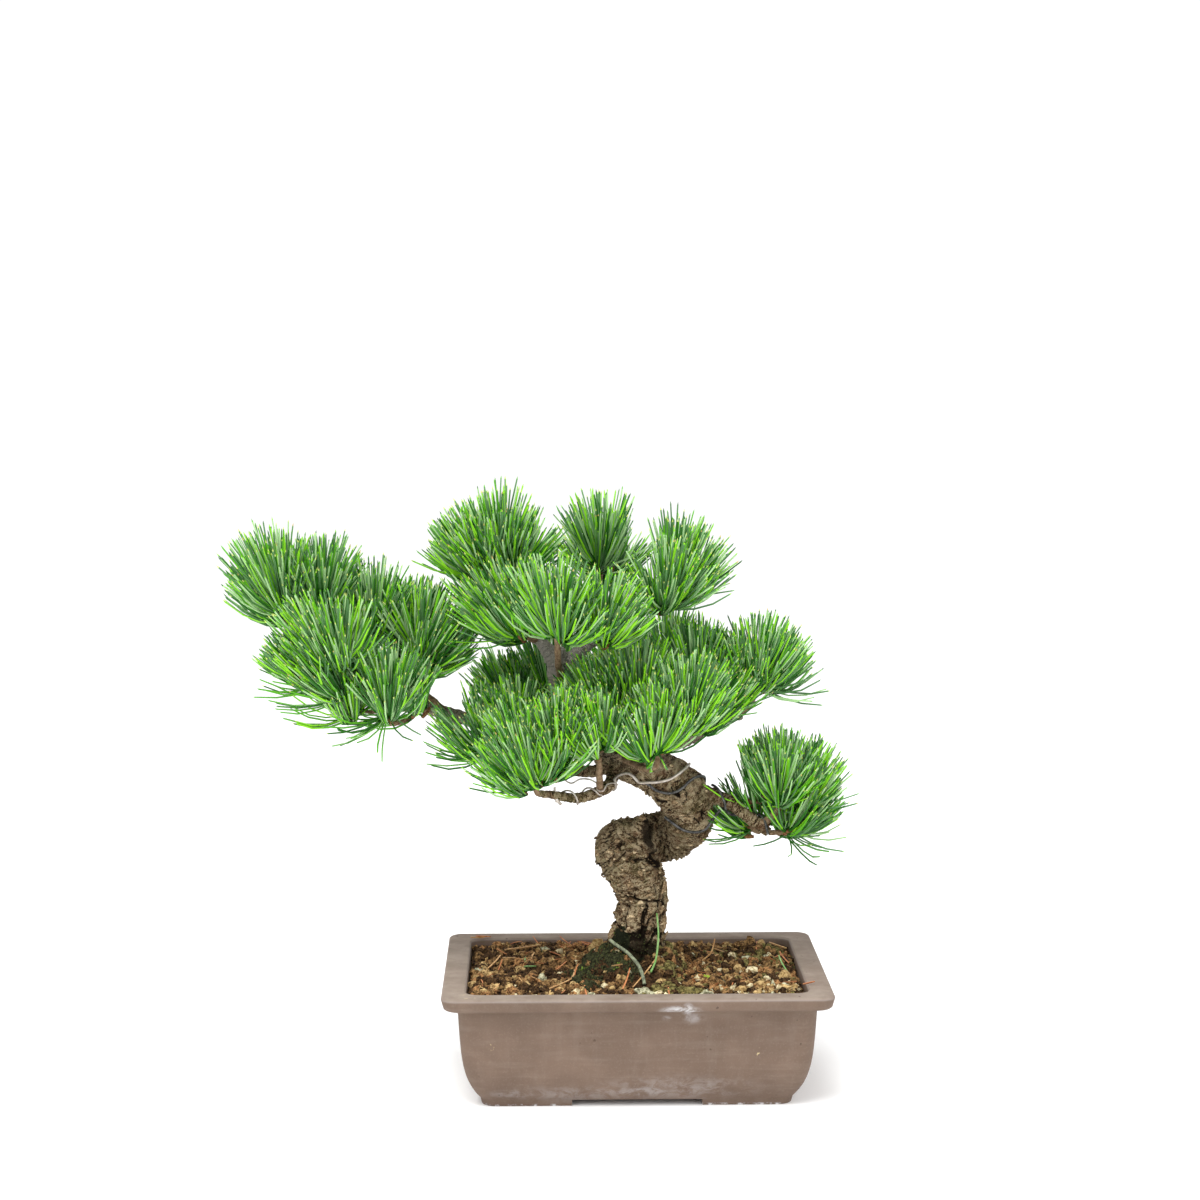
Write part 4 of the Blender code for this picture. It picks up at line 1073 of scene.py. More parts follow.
# The foot is painted near black as shade in the hollow under the last plates, and clothed in moss on its left
hollow_shade = (bark.patch((3, -18, 66), (22, 20, 24)) + (bark.grain(160, 4, 0.6) - 0.5) * 0.8).between(0.25, 0.5)
tone = bark.mix(hollow_shade * 0.93, tone, BARK_PIT)
clothed = (1 - height.between(66 * MM, 74 * MM)).most(bark.patch((-10, -14, 80), (10, 14, 15)))
moss_here = (clothed + (bark.grain(120, 4, 0.6) - 0.5) * 0.8).between(0.25, 0.5)
moss_tone = bark.mix(bark.grain(500, 3, 0.6).between(0.62, 0.75), MOSS_BLACK, MOSS_GREEN)
tone = bark.mix(moss_here, tone, moss_tone)
bark.feed("Base Color", tone)
bark.relief(value, 1.4 * MM, 1.0)
wood.data.materials.clear()
wood.data.materials.append(bark.material)
wood.name = "trunk_and_boughs"
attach(wood, "root")
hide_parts("trunk", *MAIN_BOUGHS)

# Loose scales and plates of dead bark cling to the old wood and break up its outline
def flake_shape(seed):
    """One flat splinter of bark of unit size, as arrays of corners and triangles."""
    shape = bmesh.new()
    bmesh.ops.create_cone(shape, cap_ends=True, cap_tris=True, segments=7, radius1=1, radius2=0.8, depth=1)
    for vert in shape.verts:
        around = math.atan2(vert.co.y, vert.co.x)
        reach = 1 + 0.9 * noise.noise(Vector((math.cos(around), math.sin(around), seed * 5.3)) * 2.3)
        vert.co = Vector((vert.co.x * reach, vert.co.y * reach, vert.co.z + 0.3 * noise.noise(vert.co + UPWARD * seed)))
    bmesh.ops.triangulate(shape, faces=shape.faces[:])
    corners = np.array([vert.co[:] for vert in shape.verts])
    triangles = np.array([[vert.index for vert in face.verts] for face in shape.faces])
    shape.free()
    return corners, triangles


surface = wood.data
wood_tree = BVHTree.FromPolygons([v.co for v in surface.vertices], [p.vertices for p in surface.polygons])
chance = random.Random("chips")


def clinging(spot, normal, tilt):
    """The turn of a flat chip that lies on the bark, its long side across the limb."""
    up = normal.normalized()
    side = up.cross(UPWARD + Vector([chance.uniform(-0.5, 0.5) for k in range(3)])).normalized()
    turn = Matrix((side, up.cross(side), up)).transposed()
    lifted = Matrix.Rotation(chance.uniform(-tilt, tilt), 3, "X") @ Matrix.Rotation(chance.uniform(-tilt, tilt), 3, "Y")
    return (turn @ lifted).to_quaternion()


chip_places = []
while len(chip_places) < CHIPS:
    vertex = vertices[chance.randrange(len(vertices))]
    radius = straightened(vertex.co - POT_PLACE)[1]
    height = (vertex.co.z - TRUNK_FOOT) / (115 * MM)
    if radius > 9 * MM and chance.random() > 0.8 * height and vertex.co.z > TRUNK_FOOT + 26 * MM:
        half = chance.triangular(*CHIP_SIZES, CHIP_SIZES[0] * 1.2)
        size = np.array([half, half * chance.uniform(0.3, 0.6), CHIP_THICKNESS])
        place = vertex.co + vertex.normal * 0.15 * MM
        chip_places.append((len(chip_places) % 8, place, size, clinging(place, vertex.normal, 0.35),
                            chance.choice((0, 0, 1, 1, 2, 2))))
for spot, half_up, half_across in LOOSE_PLATES:
    place, normal, *rest = wood_tree.find_nearest(POT_PLACE + Vector(spot) * MM)
    size = np.array([half_across * MM, half_up * MM, 0.9 * MM])
    chip_places.append((len(chip_places) % 8, place + normal * 0.3 * MM, size, clinging(place, normal, 0.12), 1))
chip_finishes = [
    two_tone("bark_chip_dark", (BARK_PIT, BARK_STEPS[1][0]), 0.9, 900, 0.4 * MM),
    two_tone("bark_chip_brown", (BARK_STEPS[0][0], BARK_STEPS[3][0]), 0.9, 900, 0.4 * MM),
    two_tone("bark_chip_pale", (BARK_STEPS[2][0], BARK_STEPS[4][0]), 0.9, 900, 0.4 * MM),
]
chips = strew("bark_chips", [flake_shape(seed) for seed in range(8)], chip_places, chip_finishes)
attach(chips, "root")

# Moss: short upright leaves crowded on the soil beside the trunk and up its left foot
MOSS_TUFTS = 1900
MOSS_ON_BARK = 500
MOSS_LENGTHS = (0.5 * MM, 1.2 * MM)
BRIGHT_MOSS = (38.7 * MM, -22.5 * MM, 2.6 * MM, 60)


def moss_kind(spot):
    """Black-green, dark, or bright green in a few small clumps."""
    if noise.noise(spot * 110 + Vector((3, 0, 7))) > 0.42:
        return chance.choices((0, 1, 2), (0.2, 0.35, 0.45))[0]
    return chance.choices((0, 1), (0.7, 0.3))[0]


rows = []
while len(rows) < MOSS_TUFTS:
    x = chance.uniform(-36, 32) * MM
    y = chance.uniform(-46, 42) * MM
    if mossy(x, y) > chance.uniform(0.3, 1.0):
        spot = POT_PLACE + Vector((x, y, soil_top(x, y) + 0.5 * MM))
        way = Vector((chance.uniform(-0.7, 0.7), chance.uniform(-0.7, 0.7), 1))
        kind = moss_kind(spot)
        rows.append((spot, way.normalized(), (0, 0, 0.1), (1, 0, 0), chance.uniform(*MOSS_LENGTHS), 0.7 * MM, (kind,) * 4))
while len(rows) < MOSS_TUFTS + MOSS_ON_BARK:
    vertex = vertices[chance.randrange(len(vertices))]
    spot = vertex.co - POT_PLACE
    side = 1 - 0.035 * max(spot.x / MM, -12) - 0.03 * max(spot.y / MM, -10)
    if 68 * MM < spot.z < 92 * MM and chance.random() < side * 0.6 * (1 - step_up(spot.z, 76 * MM, 92 * MM)):
        kind = moss_kind(vertex.co)
        way = (vertex.normal + UPWARD * 0.5).normalized()
        rows.append((vertex.co.copy(), way, (0, 0, 0.1), way.orthogonal(), chance.uniform(*MOSS_LENGTHS) * 0.8,
                     0.7 * MM, (kind,) * 4))
x0, y0, reach, count = BRIGHT_MOSS
for k in range(count):
    x = chance.gauss(x0, reach / 2)
    y = chance.gauss(y0, reach / 2)
    spot = POT_PLACE + Vector((x, y, soil_top(x, y) + 1.0 * MM))
    way = Vector((chance.uniform(-0.8, 0.8), chance.uniform(-0.8, 0.8), 1)).normalized()
    rows.append((spot, way, (0, 0, 0.1), (1, 0, 0), chance.uniform(1.2, 2.4) * MM, 0.7 * MM, (3,) * 4))
moss_finishes = [
    two_tone("moss_black", ((0.016, 0.018, 0.009, 1), (0.050, 0.052, 0.024, 1)), 0.9, 500, 0.1 * MM),
    two_tone("moss_dark", ((0.032, 0.038, 0.013, 1), (0.095, 0.100, 0.034, 1)), 0.9, 500, 0.1 * MM),
    two_tone("moss_bright", ((0.070, 0.130, 0.016, 1), (0.190, 0.280, 0.045, 1)), 0.8, 500, 0.1 * MM),
    two_tone("moss_lime", ((0.200, 0.360, 0.020, 1), (0.520, 0.640, 0.090, 1)), 0.8, 500, 0.1 * MM),
]
moss = strands("moss", rows, moss_finishes)
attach(moss, "root")


# Small boughs leave the trunk and the main boughs, turn up into each mass of foliage and
# fork there into twigs, each ending in a brown scaly bud. They grow by the seeded rule that
# the solids were grown by, and then once finer.
MASSES = {
    "top_front": ("trunk", 0.90, (-43, -38, 256), -4, 26, 42, 2, 26, -130),
    "left_hand": ("bough_mid_left", 0.8, (-41, -38, 190), 4, 14, 38, 1, 21, 195),
    "low_left": ("bough_low_left", 1.0, (-57, -46, 176), -30, 12, 39, 1, 15, -40),
    "right_front": ("bough_right", 0.5, (27, -34, 207), 17, 16, 39, 1, 20, -60),
    "front": ("trunk", 0.62, (11, -41, 193), -2, 18, 38, 1, 28, 180),
    "left_front": ("bough_left", 0.90, (-162, -28, 237), -40, 20, 42, 1, 22, -80),
    "left_low": ("bough_left", 0.80, (-133, -24, 213), 2, 22, 39, 2, 23, 200),
    "top_left": ("bough_top_left", 1.0, (-73, 4, 288), -5, 4, 43, 1, 13, 180),
    "top_right": ("bough_top_right", 1.0, (22, 8, 275), 12, 4, 41, 1, 20, 100),
    "top_side": ("bough_top_left", 0.6, (-66, -8, 251), -62, 8, 46, 1, 18, -90),
    "left_end": ("bough_left", 0.98, (-192, 6, 265), -22, 4, 43, 2, 21, -110),
    "left_mid": ("bough_left", 0.86, (-143, 8, 250), 0, 6, 41, 2, 20, -140),
    "left_inner": ("bough_left", 0.70, (-115, 2, 232), 40, 0, 39, 1, 18, -110),
    "side_left": ("bough_mid_left", 1.0, (-82, -8, 188), -36, 4, 38, 1, 20, 0),
    "centre": ("trunk", 0.70, (2, -15, 212), 0, 8, 40, 1, 20, 180),
    "right_mid": ("bough_right", 0.85, (45, 0, 211), 4, 6, 39, 1, 24, -90),
    "right_end": ("bough_right", 0.97, (67, 2, 223), 6, 4, 40, 1, 16, -70),
    "right_low": ("bough_low_right", 0.9, (79, -12, 163), -4, 10, 40, 2, 14, -140),
    "right_low_end": ("bough_low_right", 1.0, (89, -5, 141), 60, 0, 34, 1, 14, -110),
    "right_low_inner": ("bough_low_right", 0.62, (61, 5, 141), -66, -22, 30, 0, 12, -90),
    "top_back": ("bough_top_right", 0.55, (-17, 36, 285), 5, -12, 38, 1, 22, -90),
    "back_left": ("bough_back", 1.0, (-47, 46, 209), -6, -28, 40, 2, 20, 180),
    "back_right": ("bough_back", 0.6, (22, 46, 219), 4, -22, 42, 2, 24, -160),
}
STEM_LENGTH = 8 * MM
STEM_RADIUS = 1.5 * MM
BOUGH_ROOT = 2.4 * MM
BOUGH_STEPS = 18
BOUGH_LEAVE = 0.3
BOUGH_ARRIVE = 0.3
FORK_BACK = 4 * MM
TWIG_RADIUS = 1.1 * MM
SIDE_STEP = math.radians(120)
SIDE_DROP = 0.28
SIDE_SPLAY = 0.5
SIDE_NEEDLES = 0.87
HEART_JITTER = 1.2 * MM
# How far the side tufts of a mass stand from where the rule puts them
SIDE_SHIFTS = {"front": (-4 * MM, 0, 10 * MM)}
# Shoots that fill the outline between tufts: place and direction, in millimetres, and needle length
MORE_SHOOTS = {
    "left_front": (((-172, -26, 226), (-0.95, -0.15, 0.25), 37), ((-160, -28, 219), (-0.9, -0.2, 0.1), 35)),
    "top_left": (((-63, 0, 284), (0.5, -0.3, 0.75), 34),),
    "right_mid": (((34, -4, 222), (-0.1, -0.1, 1.0), 38),),
    "left_inner": (((-118, 0, 240), (-0.1, -0.1, 1.0), 40),),
}
SHOOTS = 2
SHOOT_OUT = 7 * MM
SHOOT_BACK = 2.5 * MM
SHOOT_SPLAY = 0.4
SHOOT_NEEDLES = 0.88
SHOOT_RADIUS = 0.75 * MM
BUD_LENGTH = 6 * MM
BUD_RADIUS = 1.5 * MM
# A spur from the low left bough up to the tuft in front of it: points and radii in millimetres
SPUR = ((-19, -16, 163.5, 2.2), (-19.5, -23, 169, 1.9), (-19.5, -32, 178, 1.7), (-20, -38, 187, 1.4))
TWIG_BROWN = ((0.115, 0.070, 0.038, 1), (0.260, 0.185, 0.110, 1))
BUD_BROWN = ((0.100, 0.042, 0.016, 1), (0.250, 0.130, 0.055, 1))


def lean_axes(right, front):
    """The way a mass leans, and the two directions square to it: across and to the front."""
    r = math.radians(right)
    f = math.radians(front)
    lean = Vector((math.sin(r) * math.cos(f), -math.sin(f), math.cos(r) * math.cos(f)))
    across = Vector((math.cos(r), 0, -math.sin(r)))
    return lean, across, across.cross(lean)


def tufts_of(name, heart, right, front, needle, sides, spread, turn):
    """The tufts of one mass: a leader at its heart, and side tufts lower down round it."""
    chance = random.Random(name)
    lean, across, toward = lean_axes(right, front)
    heart = Vector(heart) * MM
    tufts = [(heart, lean, needle * MM)]
    for side in range(sides):
        angle = math.radians(turn) + side * SIDE_STEP
        out = across * math.cos(angle) + toward * math.sin(angle)
        base = heart + out * spread * MM - lean * spread * MM * SIDE_DROP
        base += Vector([chance.uniform(-1, 1) for axis in range(3)]) * HEART_JITTER
        base += Vector(SIDE_SHIFTS.get(name, (0, 0, 0)))
        tufts.append((base, (lean + out * SIDE_SPLAY).normalized(), needle * MM * SIDE_NEEDLES))
    return tufts


def small_bough(parent, place, heart, lean):
    """A bough from its parent's middle line, turning into the foot of a mass along its lean."""
    start, direction, radius = parent.at(place)
    tip = heart - lean * STEM_LENGTH
    leave = start.lerp(tip, BOUGH_LEAVE)
    arrive = tip - lean * (tip - start).length * BOUGH_ARRIVE
    root = min(BOUGH_ROOT, radius * 0.8)
    points = []
    radii = []
    for step in range(BOUGH_STEPS + 1):
        t = step / BOUGH_STEPS
        early = start * (1 - t) ** 3 + leave * 3 * t * (1 - t) ** 2
        points.append(early + arrive * 3 * t * t * (1 - t) + tip * t ** 3)
        radii.append(root + (STEM_RADIUS - root) * t)
    return Limb(points, radii)


def gnarled(limb, name):
    """The same limb with knuckles and small bends, its ends kept in place."""
    last = len(limb.points) - 1
    seed = Vector((len(name) * 3.7, sum(map(ord, name)) * 0.13, 0))
    for k in range(1, last):
        hold = math.sin(math.pi * k / last)
        limb.points[k] += noise.noise_vector(limb.points[k] * 90 + seed) * 1.3 * MM * hold
        limb.radii[k] *= 1 + 0.28 * noise.noise(limb.points[k] * 260 + seed)
    return limb


small_limbs = []
buds = []
shoots = {}
for mass, (parent, place, heart, right, front, *rest) in MASSES.items():
    limb = limbs[parent]
    if place < 1:
        limb = small_bough(limb, place, Vector(heart) * MM, lean_axes(right, front)[0])
        small_limbs.append(gnarled(limb, mass))
    foot = limb.points[-1]
    tufts = tufts_of(mass, heart, right, front, *rest)
    fork = tufts[0][0] - tufts[0][1] * FORK_BACK
    small_limbs.append(Limb([foot, foot.lerp(fork, 0.5), fork], [STEM_RADIUS, STEM_RADIUS, TWIG_RADIUS]))
    chance = random.Random(mass + " shoots")
    shoots[mass] = []
    for base, axis, needle in tufts:
        bow = fork.lerp(base, 0.5) - UPWARD * (base - fork).length * 0.06
        small_limbs.append(Limb([fork, bow, base], [TWIG_RADIUS, TWIG_RADIUS * 0.9, TWIG_RADIUS * 0.8]))
        grown = [(base, axis, needle, True)]
        side = axis.orthogonal().normalized()
        phase = chance.uniform(0, 2 * math.pi)
        for k in range(SHOOTS):
            angle = phase + (k + chance.uniform(-0.2, 0.2)) * 2 * math.pi / SHOOTS
            out = side * math.cos(angle) + axis.cross(side) * math.sin(angle)
            tip = base + out * SHOOT_OUT * chance.uniform(0.8, 1.15) - axis * SHOOT_BACK * chance.uniform(0.6, 1.2)
            way = (axis + out * SHOOT_SPLAY).normalized()
            start = base - axis * (SHOOT_BACK + 3 * MM)
            small_limbs.append(Limb([start, start.lerp(tip, 0.55) - way * MM, tip], [SHOOT_RADIUS] * 3))
            grown.append((tip, way, needle * SHOOT_NEEDLES, False))
        if base is tufts[0][0]:
            for tip, way, length in MORE_SHOOTS.get(mass, ()):
                tip, way = Vector(tip) * MM, Vector(way).normalized()
                small_limbs.append(Limb([fork, fork.lerp(tip, 0.5) - way * 2 * MM, tip], [TWIG_RADIUS] * 3))
                grown.append((tip, way, length * MM, True))
        for tip, way, length, leader in grown:
            points = [tip - way * BUD_LENGTH * t for t in (1.0, 0.6, 0.25, 0.0, -0.3)]
            buds.append(Limb(points, [BUD_RADIUS * share for share in (0.55, 0.9, 1.0, 0.75, 0.15)]))
        shoots[mass] += grown
small_limbs.append(gnarled(limb_through(SPUR, 4), "spur"))
twig_bark = two_tone("twig_bark", TWIG_BROWN, 0.85, 420, 0.5 * MM)
twigs = limb_piece("small_boughs_and_twigs", small_limbs, 3, [twig_bark])
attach(twigs, "root")
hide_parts(*["bough_" + mass for mass, row in MASSES.items() if row[1] < 1])
bud_scales = two_tone("bud_scales", BUD_BROWN, 0.8, 700, 0.5 * MM)
bud_piece = limb_piece("buds", buds, 2, [bud_scales])
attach(bud_piece, "root")

for k, (points, width, kind) in enumerate(STANDING_NEEDLES):
    path = [Vector(point) * MM for point in smooth_path(points, 5)]
    thin = [width * MM / 2 * (1 - 0.5 * (j / len(path)) ** 3) for j in range(len(path))]
    stalk = limb_piece(f"standing_needle_{k}", [Limb(path, thin)], 2, [dry_finishes[kind]])
    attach(stalk, "root")


# The needles grow in bundles of five from short shoots, like shaving brushes. Each is three sided, green on its rounded
# back and blue-white with wax on its two inner faces, and it curves up towards the light. Each bundle has its own
# green. On over half of the needles the waxy faces are painted darker, as in shade.
NEEDLE_WIDTH = 0.98 * MM
BUNDLE_NEEDLES = 5
LEADER_BUNDLES = 32
SHOOT_BUNDLES = 16
LOOSE_SHARE = 0.2
LOOSE_SPREAD = (math.radians(55), math.radians(98))
LOWEST_AIM = -0.12
LOW_SWEEPS = {
    "low_left": (10, (-1.0, -0.3, -0.05)), "left_low": (8, (-0.8, -0.3, -0.35)), "left_front": (8, (-0.9, -0.3, -0.2)),
    "side_left": (9, (-0.9, -0.2, -0.3)), "left_mid": (5, (0.7, -0.6, -0.2)), "left_inner": (6, (0.7, -0.6, -0.1)),
    "right_low": (5, (0.5, -0.6, -0.1)), "right_low_end": (7, (0.6, -0.3, -0.3)), "right_low_inner": (7, (-0.7, -0.4, -0.35)),
    "right_end": (5, (0.9, -0.3, -0.4)), "top_right": (6, (0.9, -0.5, -0.05)), "right_mid": (4, (0.6, -0.6, 0.1)),
    "top_left": (4, (-0.8, -0.5, 0.0)), "top_side": (5, (-0.9, -0.4, -0.1)),
}
SWEEP_CURL = 0.42
# Needles that hang below a mass in a fan, and their number
DROOPING = {"left_low": 11, "right_low_end": 3}
HOOKED = {"front": 8}
RISING_CURL = (0.42, 0.8)
BUNDLE_SHARES = {"right_low_inner": 0.3, "right_low_end": 0.8}
LENGTH_SHARES = {"top_back": 1.06, "right_low": 0.95, "top_left": 0.97, "left_end": 1.04, "right_end": 0.96}
SPREADS = {"left_hand": 44, "front": 50, "right_front": 50, "centre": 50, "right_mid": 54, "top_left": 52, "top_back": 62, "left_low": 54}
FRESHER = {"left_hand": 0.3, "low_left": 0.2, "front": 0.28, "centre": 0.2, "right_front": 0.24, "right_mid": 0.14, "right_end": 0.08, "top_front": 0.06}
BUNDLE_FAN = 0.16
NEEDLE_LENGTHS = (0.86, 1.06)
ROOTED_OVER = 8 * MM
GOLDEN_ANGLE = math.pi * (3 - math.sqrt(5))
# Where the crown is open, as egg-shaped gaps in millimetres: the middle, and the half sizes
OPEN_PLACES = (
    ((-103, -5, 218), (9, 60, 9)), ((-44, 10, 317), (6, 50, 9)), ((3, 15, 300), (6.5, 50, 14)),
    ((45, -5, 180), (15, 50, 15)), ((2, -33, 173), (23, 22, 8)), ((-32, -30, 170), (14, 25, 7)),
    ((-127, 0, 243), (7, 60, 4.5)),
)
NEEDLE_GREENS = {
    "needle_spring": ((0.215, 0.560, 0.018, 1), 0.42),
    "needle_green": ((0.085, 0.325, 0.012, 1), 0.42),
    "needle_deep": ((0.018, 0.110, 0.008, 1), 0.5),
    "needle_waxy": ((0.330, 0.530, 0.240, 1), 0.55),
    "needle_waxy_shaded": ((0.090, 0.210, 0.075, 1), 0.55),
    "needle_tip": ((0.480, 0.560, 0.150, 1), 0.5),
    "needle_tip_amber": ((0.480, 0.360, 0.110, 1), 0.5),
}
SPRING, GREEN, DEEP, WAXY, WAXY_SHADED, TIP, AMBER = range(7)
NEEDLE_PIECES = {
    "needles_on_the_left": ("left_end", "left_mid", "left_inner", "left_front", "left_low"),
    "needles_at_the_top": ("top_front", "top_left", "top_right", "top_side", "top_back"),
    "needles_in_the_middle": ("left_hand", "side_left", "low_left", "front", "centre", "right_front"),
    "needles_on_the_right": ("right_mid", "right_end", "right_low", "right_low_end", "right_low_inner"),
    "needles_at_the_back": ("back_left", "back_right"),
}


def in_a_gap(place):
    """Whether a point, given from the pot's middle, lies in one of the crown's gaps."""
    for middle, sizes in OPEN_PLACES:
        off = place - Vector(middle) * MM
        if sum((off[k] / (sizes[k] * MM)) ** 2 for k in range(3)) < 1:
            return True
    return False


def needle_row(chance, root, along, bend, splay, length, freshness):
    """One needle, with a finish for its back, its waxy inside, its tip and its foot."""
    green = chance.uniform(0, 1)
    back = SPRING if green > freshness else GREEN if green > 0.3 else DEEP
    # Over half of the inner faces take a darker copy of the waxy finish, as painted shade.
    inner = WAXY if chance.random() < 0.45 else WAXY_SHADED
    point = chance.choices((TIP, AMBER, back), (0.26, 0.02, 0.72))[0]
    width = NEEDLE_WIDTH * chance.uniform(0.85, 1.12)
    # Every needle's foot takes the deep green as painted shade at the heart of its bundle.
    return root + splay * 0.3 * MM, along, bend, splay, length, width, (back, inner, point, DEEP)


def needle_rows(mass):
    """Every needle of one mass, bundle by bundle, on a spiral down each shoot."""
    chance = random.Random(mass + " needles")
    rows = []
    for tip, axis, needle, leader in shoots[mass]:
        count = round((LEADER_BUNDLES if leader else SHOOT_BUNDLES) * BUNDLE_SHARES.get(mass, 1))
        needle *= LENGTH_SHARES.get(mass, 1)
        freshness = chance.uniform(0.4, 0.75) - FRESHER.get(mass, 0)
        side = axis.orthogonal().normalized()
        other = axis.cross(side)
        phase = chance.uniform(0, 2 * math.pi)
        spread = math.radians(SPREADS.get(mass, 60))
        for bundle in range(count):
            down = (bundle + 0.5) / count
            polar = spread * down ** 0.7
            rise = down
            if chance.random() < LOOSE_SHARE:
                polar = chance.uniform(*LOOSE_SPREAD)
                rise = chance.uniform(0.6, 1.0)
            angle = phase + bundle * GOLDEN_ANGLE + chance.uniform(-0.3, 0.3)
            out = side * math.cos(angle) + other * math.sin(angle)
            along = axis * math.cos(polar) + out * math.sin(polar)
            along.z = max(along.z, LOWEST_AIM)
            along.normalize()
            root = tip + axis * (2.5 * MM - ROOTED_OVER * rise) + out * 1.2 * MM
            shift = chance.uniform(-0.25, 0.25)
            curl = chance.uniform(0.05, 0.2) + chance.uniform(*RISING_CURL) * (1 - along.z)
            bend = (UPWARD + axis * 0.3).normalized() * curl
            length = needle * chance.uniform(*NEEDLE_LENGTHS)
            spin = chance.uniform(0, 2 * math.pi)
            square = along.orthogonal().normalized()
            third = along.cross(square)
            for k in range(BUNDLE_NEEDLES):
                turn = spin + k * 2 * math.pi / BUNDLE_NEEDLES
                splay = square * math.cos(turn) + third * math.sin(turn)
                way = (along + splay * BUNDLE_FAN * chance.uniform(0.5, 1.5)).normalized()
                sway = Vector([chance.uniform(-0.12, 0.12) for axis_k in range(3)])
                own = length * chance.uniform(0.92, 1.04)
                if any(in_a_gap(root + (way * t + (bend + sway) * t * t) * own * 0.85) for t in (0.5, 0.75, 1.0)):
                    continue
                rows.append(needle_row(chance, root, way, bend + sway, splay, own, freshness + shift))
    tip, axis, needle, leader = shoots[mass][0]
    count, aim = LOW_SWEEPS.get(mass, (0, (0, 0, 0)))
    for base, *rest in [shoot for shoot in shoots[mass] if shoot[3]]:
        for k in range(count):
            way = (Vector(aim) + Vector([chance.uniform(-0.3, 0.3) for axis_k in range(3)])).normalized()
            bend = (UPWARD + Vector([chance.uniform(-0.4, 0.4) for axis_k in range(3)])) * SWEEP_CURL
            root = base - rest[0] * chance.uniform(2, 7) * MM
            rows.append(needle_row(chance, root, way, bend, way.orthogonal(), needle * chance.uniform(0.85, 1.02), 0.8))
    for k in range(HOOKED.get(mass, 0)):
        side = chance.choice((-1, 1)) * chance.uniform(0.3, 0.8)
        way = Vector((side, -0.25, -0.9)).normalized()
        bend = Vector((-side * 0.75, 0.0, chance.uniform(0.6, 0.8)))
        rows.append(needle_row(chance, tip - axis * 3 * MM, way, bend, way.orthogonal(), needle * 0.42, 0.5))
    for k in range(DROOPING.get(mass, 0)):
        way = Vector((chance.uniform(-1.4, 1.0), -0.3, chance.uniform(-0.9, -0.4))).normalized()
        bend = Vector((chance.uniform(-0.35, 0.35), chance.uniform(-0.2, 0.2), chance.uniform(0.2, 0.5)))
        rows.append(needle_row(chance, tip - axis * 5 * MM, way, bend, way.orthogonal(), needle * chance.uniform(0.5, 0.8), 1.2))
    return rows


green_finishes = []
for green_name, (green_colour, green_roughness) in NEEDLE_GREENS.items():
    green = Finish(green_name, green_roughness, 0.15)
    green.feed("Base Color", green_colour)
    green_finishes.append(green)
for piece_name, masses in NEEDLE_PIECES.items():
    rows = [row for mass in masses for row in needle_rows(mass)]
    rows = [(row[0] + POT_PLACE, *row[1:]) for row in rows]
    needles = strands(piece_name, rows, green_finishes)
    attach(needles, "root")
    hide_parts(*["needles_" + mass for mass in masses])


# Soft training wires hold the bends: a tarnished silver one and two dark ones round the
# thick bend, more round the low boughs, and a grey-green one pushed into the soil.
WIRES = {
    "wire_silver": (0.8, ((-13, -11, 166), (-11.4, -14.3, 169.9), (-9.0, -12.5, 172), (-5.5, -13.5, 173.5),
                          (-1.5, -15.5, 173), (2.6, -16.9, 169.2), (7, -19.5, 169.5), (12.2, -20.8, 169.9),
                          (18.4, -21.3, 171.4), (23.7, -19.6, 174.2), (28.7, -14.4, 177.5),
                          (30.6, -10, 178.6))),
    "wire_dark_middle": (0.75, ((6, -18.5, 169), (8.0, -19.2, 167.9), (11.2, -19.6, 165.3), (16.6, -20.8, 163.8),
                               (22.0, -21.5, 164.5), (26.9, -20.9, 167.6), (29.7, -19.4, 170.1), (34, -14, 171.5),
                               (38, -2, 168), (36, 6, 160))),
    "wire_dark_low": (0.8, ((18.5, -6, 149), (20.5, -8.9, 144.9), (25.3, -8.9, 141.0), (31.5, -8.7, 138.8),
                             (38.5, -6.8, 139.0), (43.8, -5.5, 143.5), (47.5, 0.5, 148.5), (46, 9, 152))),
}
# Wires coiled along a bough: radius, the bough, the parts of its length between which the
# coil runs, its turns, and the part of a turn that it starts behind
COILS = {
    "wire_dark_right": (0.75, "bough_low_right", 0.42, 1.0, 1.32, -0.29),
    "wire_silver_low": (0.5, "bough_low_left", 0.42, 0.80, 1.9, -0.1),
}
# Wires that stand free between what they touch: radius and points in millimetres
FREE_WIRES = {
    "wire_thin": (0.45, ((-9.5, -15, 167.5), (-12, -17.5, 168.8), (-15.5, -20.5, 168.5), (-17.5, -22.5, 165.5),
                         (-20.5, -21.5, 165.8), (-21, -19.5, 169), (-25, -18.5, 171), (-30, -17.5, 171),
                         (-34.5, -17.5, 168.8), (-38, -17.5, 170.5), (-40, -17.8, 174))),
    "wire_stub": (0.8, ((-40.5, -29, 159.5), (-42.5, -30.5, 162), (-43.5, -30.5, 166), (-43.8, -30.3, 169))),
    "wire_in_soil": (0.95, ((-13.5, -12.5, 80.5), (-10, -16, 78.5), (-3.9, -21, 75.2), (1.2, -27, 70.5),
                            (3.4, -33, 66.5), (4.4, -37, 62))),
}


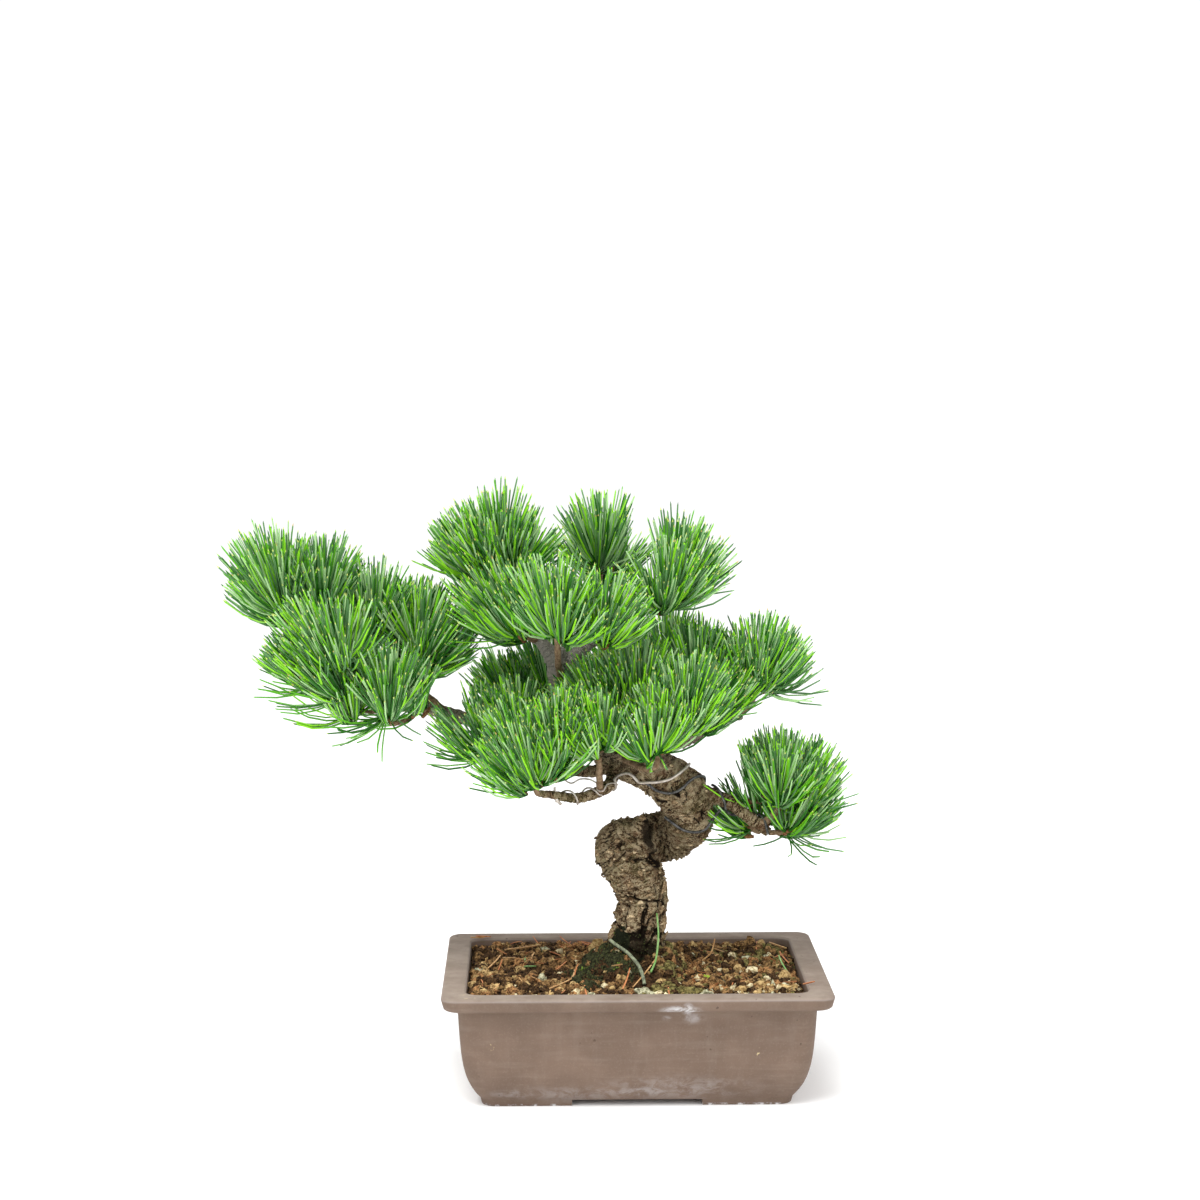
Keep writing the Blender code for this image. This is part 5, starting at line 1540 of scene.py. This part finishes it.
def wound(points, radius):
    """A smooth path through some points, at the same height over the bark all the way."""
    path = []
    for values in smooth_path(points, 8):
        spot = Vector(values) * MM
        near = sample_tree.find_n(spot, 8)
        middle, along, *rest, limb_radius, number = samples[min(near, key=lambda n: n[2] / samples[n[1]][5])[1]]
        off = spot - middle
        off -= along * off.dot(along)
        path.append(spot + off.normalized() * (limb_radius + radius * 0.6 + 0.7 * MM - off.length))
    for turn in range(4):
        path = [path[0]] + [(a + 2 * b + c) / 4 for a, b, c in zip(path, path[1:], path[2:])] + [path[-1]]
    return path


def coiled(limb, start, end, turns, behind, radius):
    """A wire wound round a limb, starting at a part of a turn before its front."""
    path = []
    count = round(turns * 24)
    for k in range(count + 1):
        part = k / count
        point, along, limb_radius = limb.at(start + (end - start) * part)
        toward = Vector((0, -1, 0))
        toward = (toward - along * toward.dot(along)).normalized()
        angle = 2 * math.pi * (behind + turns * part)
        out = toward * math.cos(angle) + along.cross(toward) * math.sin(angle)
        path.append(point + out * (limb_radius + radius + 0.4 * MM))
    return path


silver = two_tone("tarnished_wire", ((0.34, 0.29, 0.24, 1), (0.56, 0.52, 0.47, 1)), 0.45, 500, 0.05 * MM)
dark_wire = two_tone("dark_wire", ((0.030, 0.030, 0.030, 1), (0.130, 0.128, 0.122, 1)), 0.45, 500, 0.05 * MM)
for metal_finish in (silver, dark_wire):
    metal_finish.feed("Metallic", 0.55)
algae_wire = two_tone("algae_wire", ((0.10, 0.11, 0.075, 1), (0.26, 0.29, 0.19, 1)), 0.7, 400, 0.1 * MM)
paths = {name: (radius, wound(points, radius * MM)) for name, (radius, points) in WIRES.items()}
for name, (radius, bough, start, end, turns, behind) in COILS.items():
    paths[name] = (radius, coiled(limbs[bough], start, end, turns, behind, radius * MM))
for name, (radius, points) in FREE_WIRES.items():
    paths[name] = (radius, [Vector(point) * MM for point in smooth_path(points, 6)])
wire_finishes = {"wire_silver": silver, "wire_thin": silver, "wire_silver_low": silver, "wire_stub": silver,
                 "wire_in_soil": algae_wire}
for wire_name, (radius, path) in paths.items():
    finish = wire_finishes.get(wire_name, dark_wire)
    wire = limb_piece(wire_name, [Limb(path, [radius * MM] * len(path))], 3, [finish])
    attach(wire, "root")
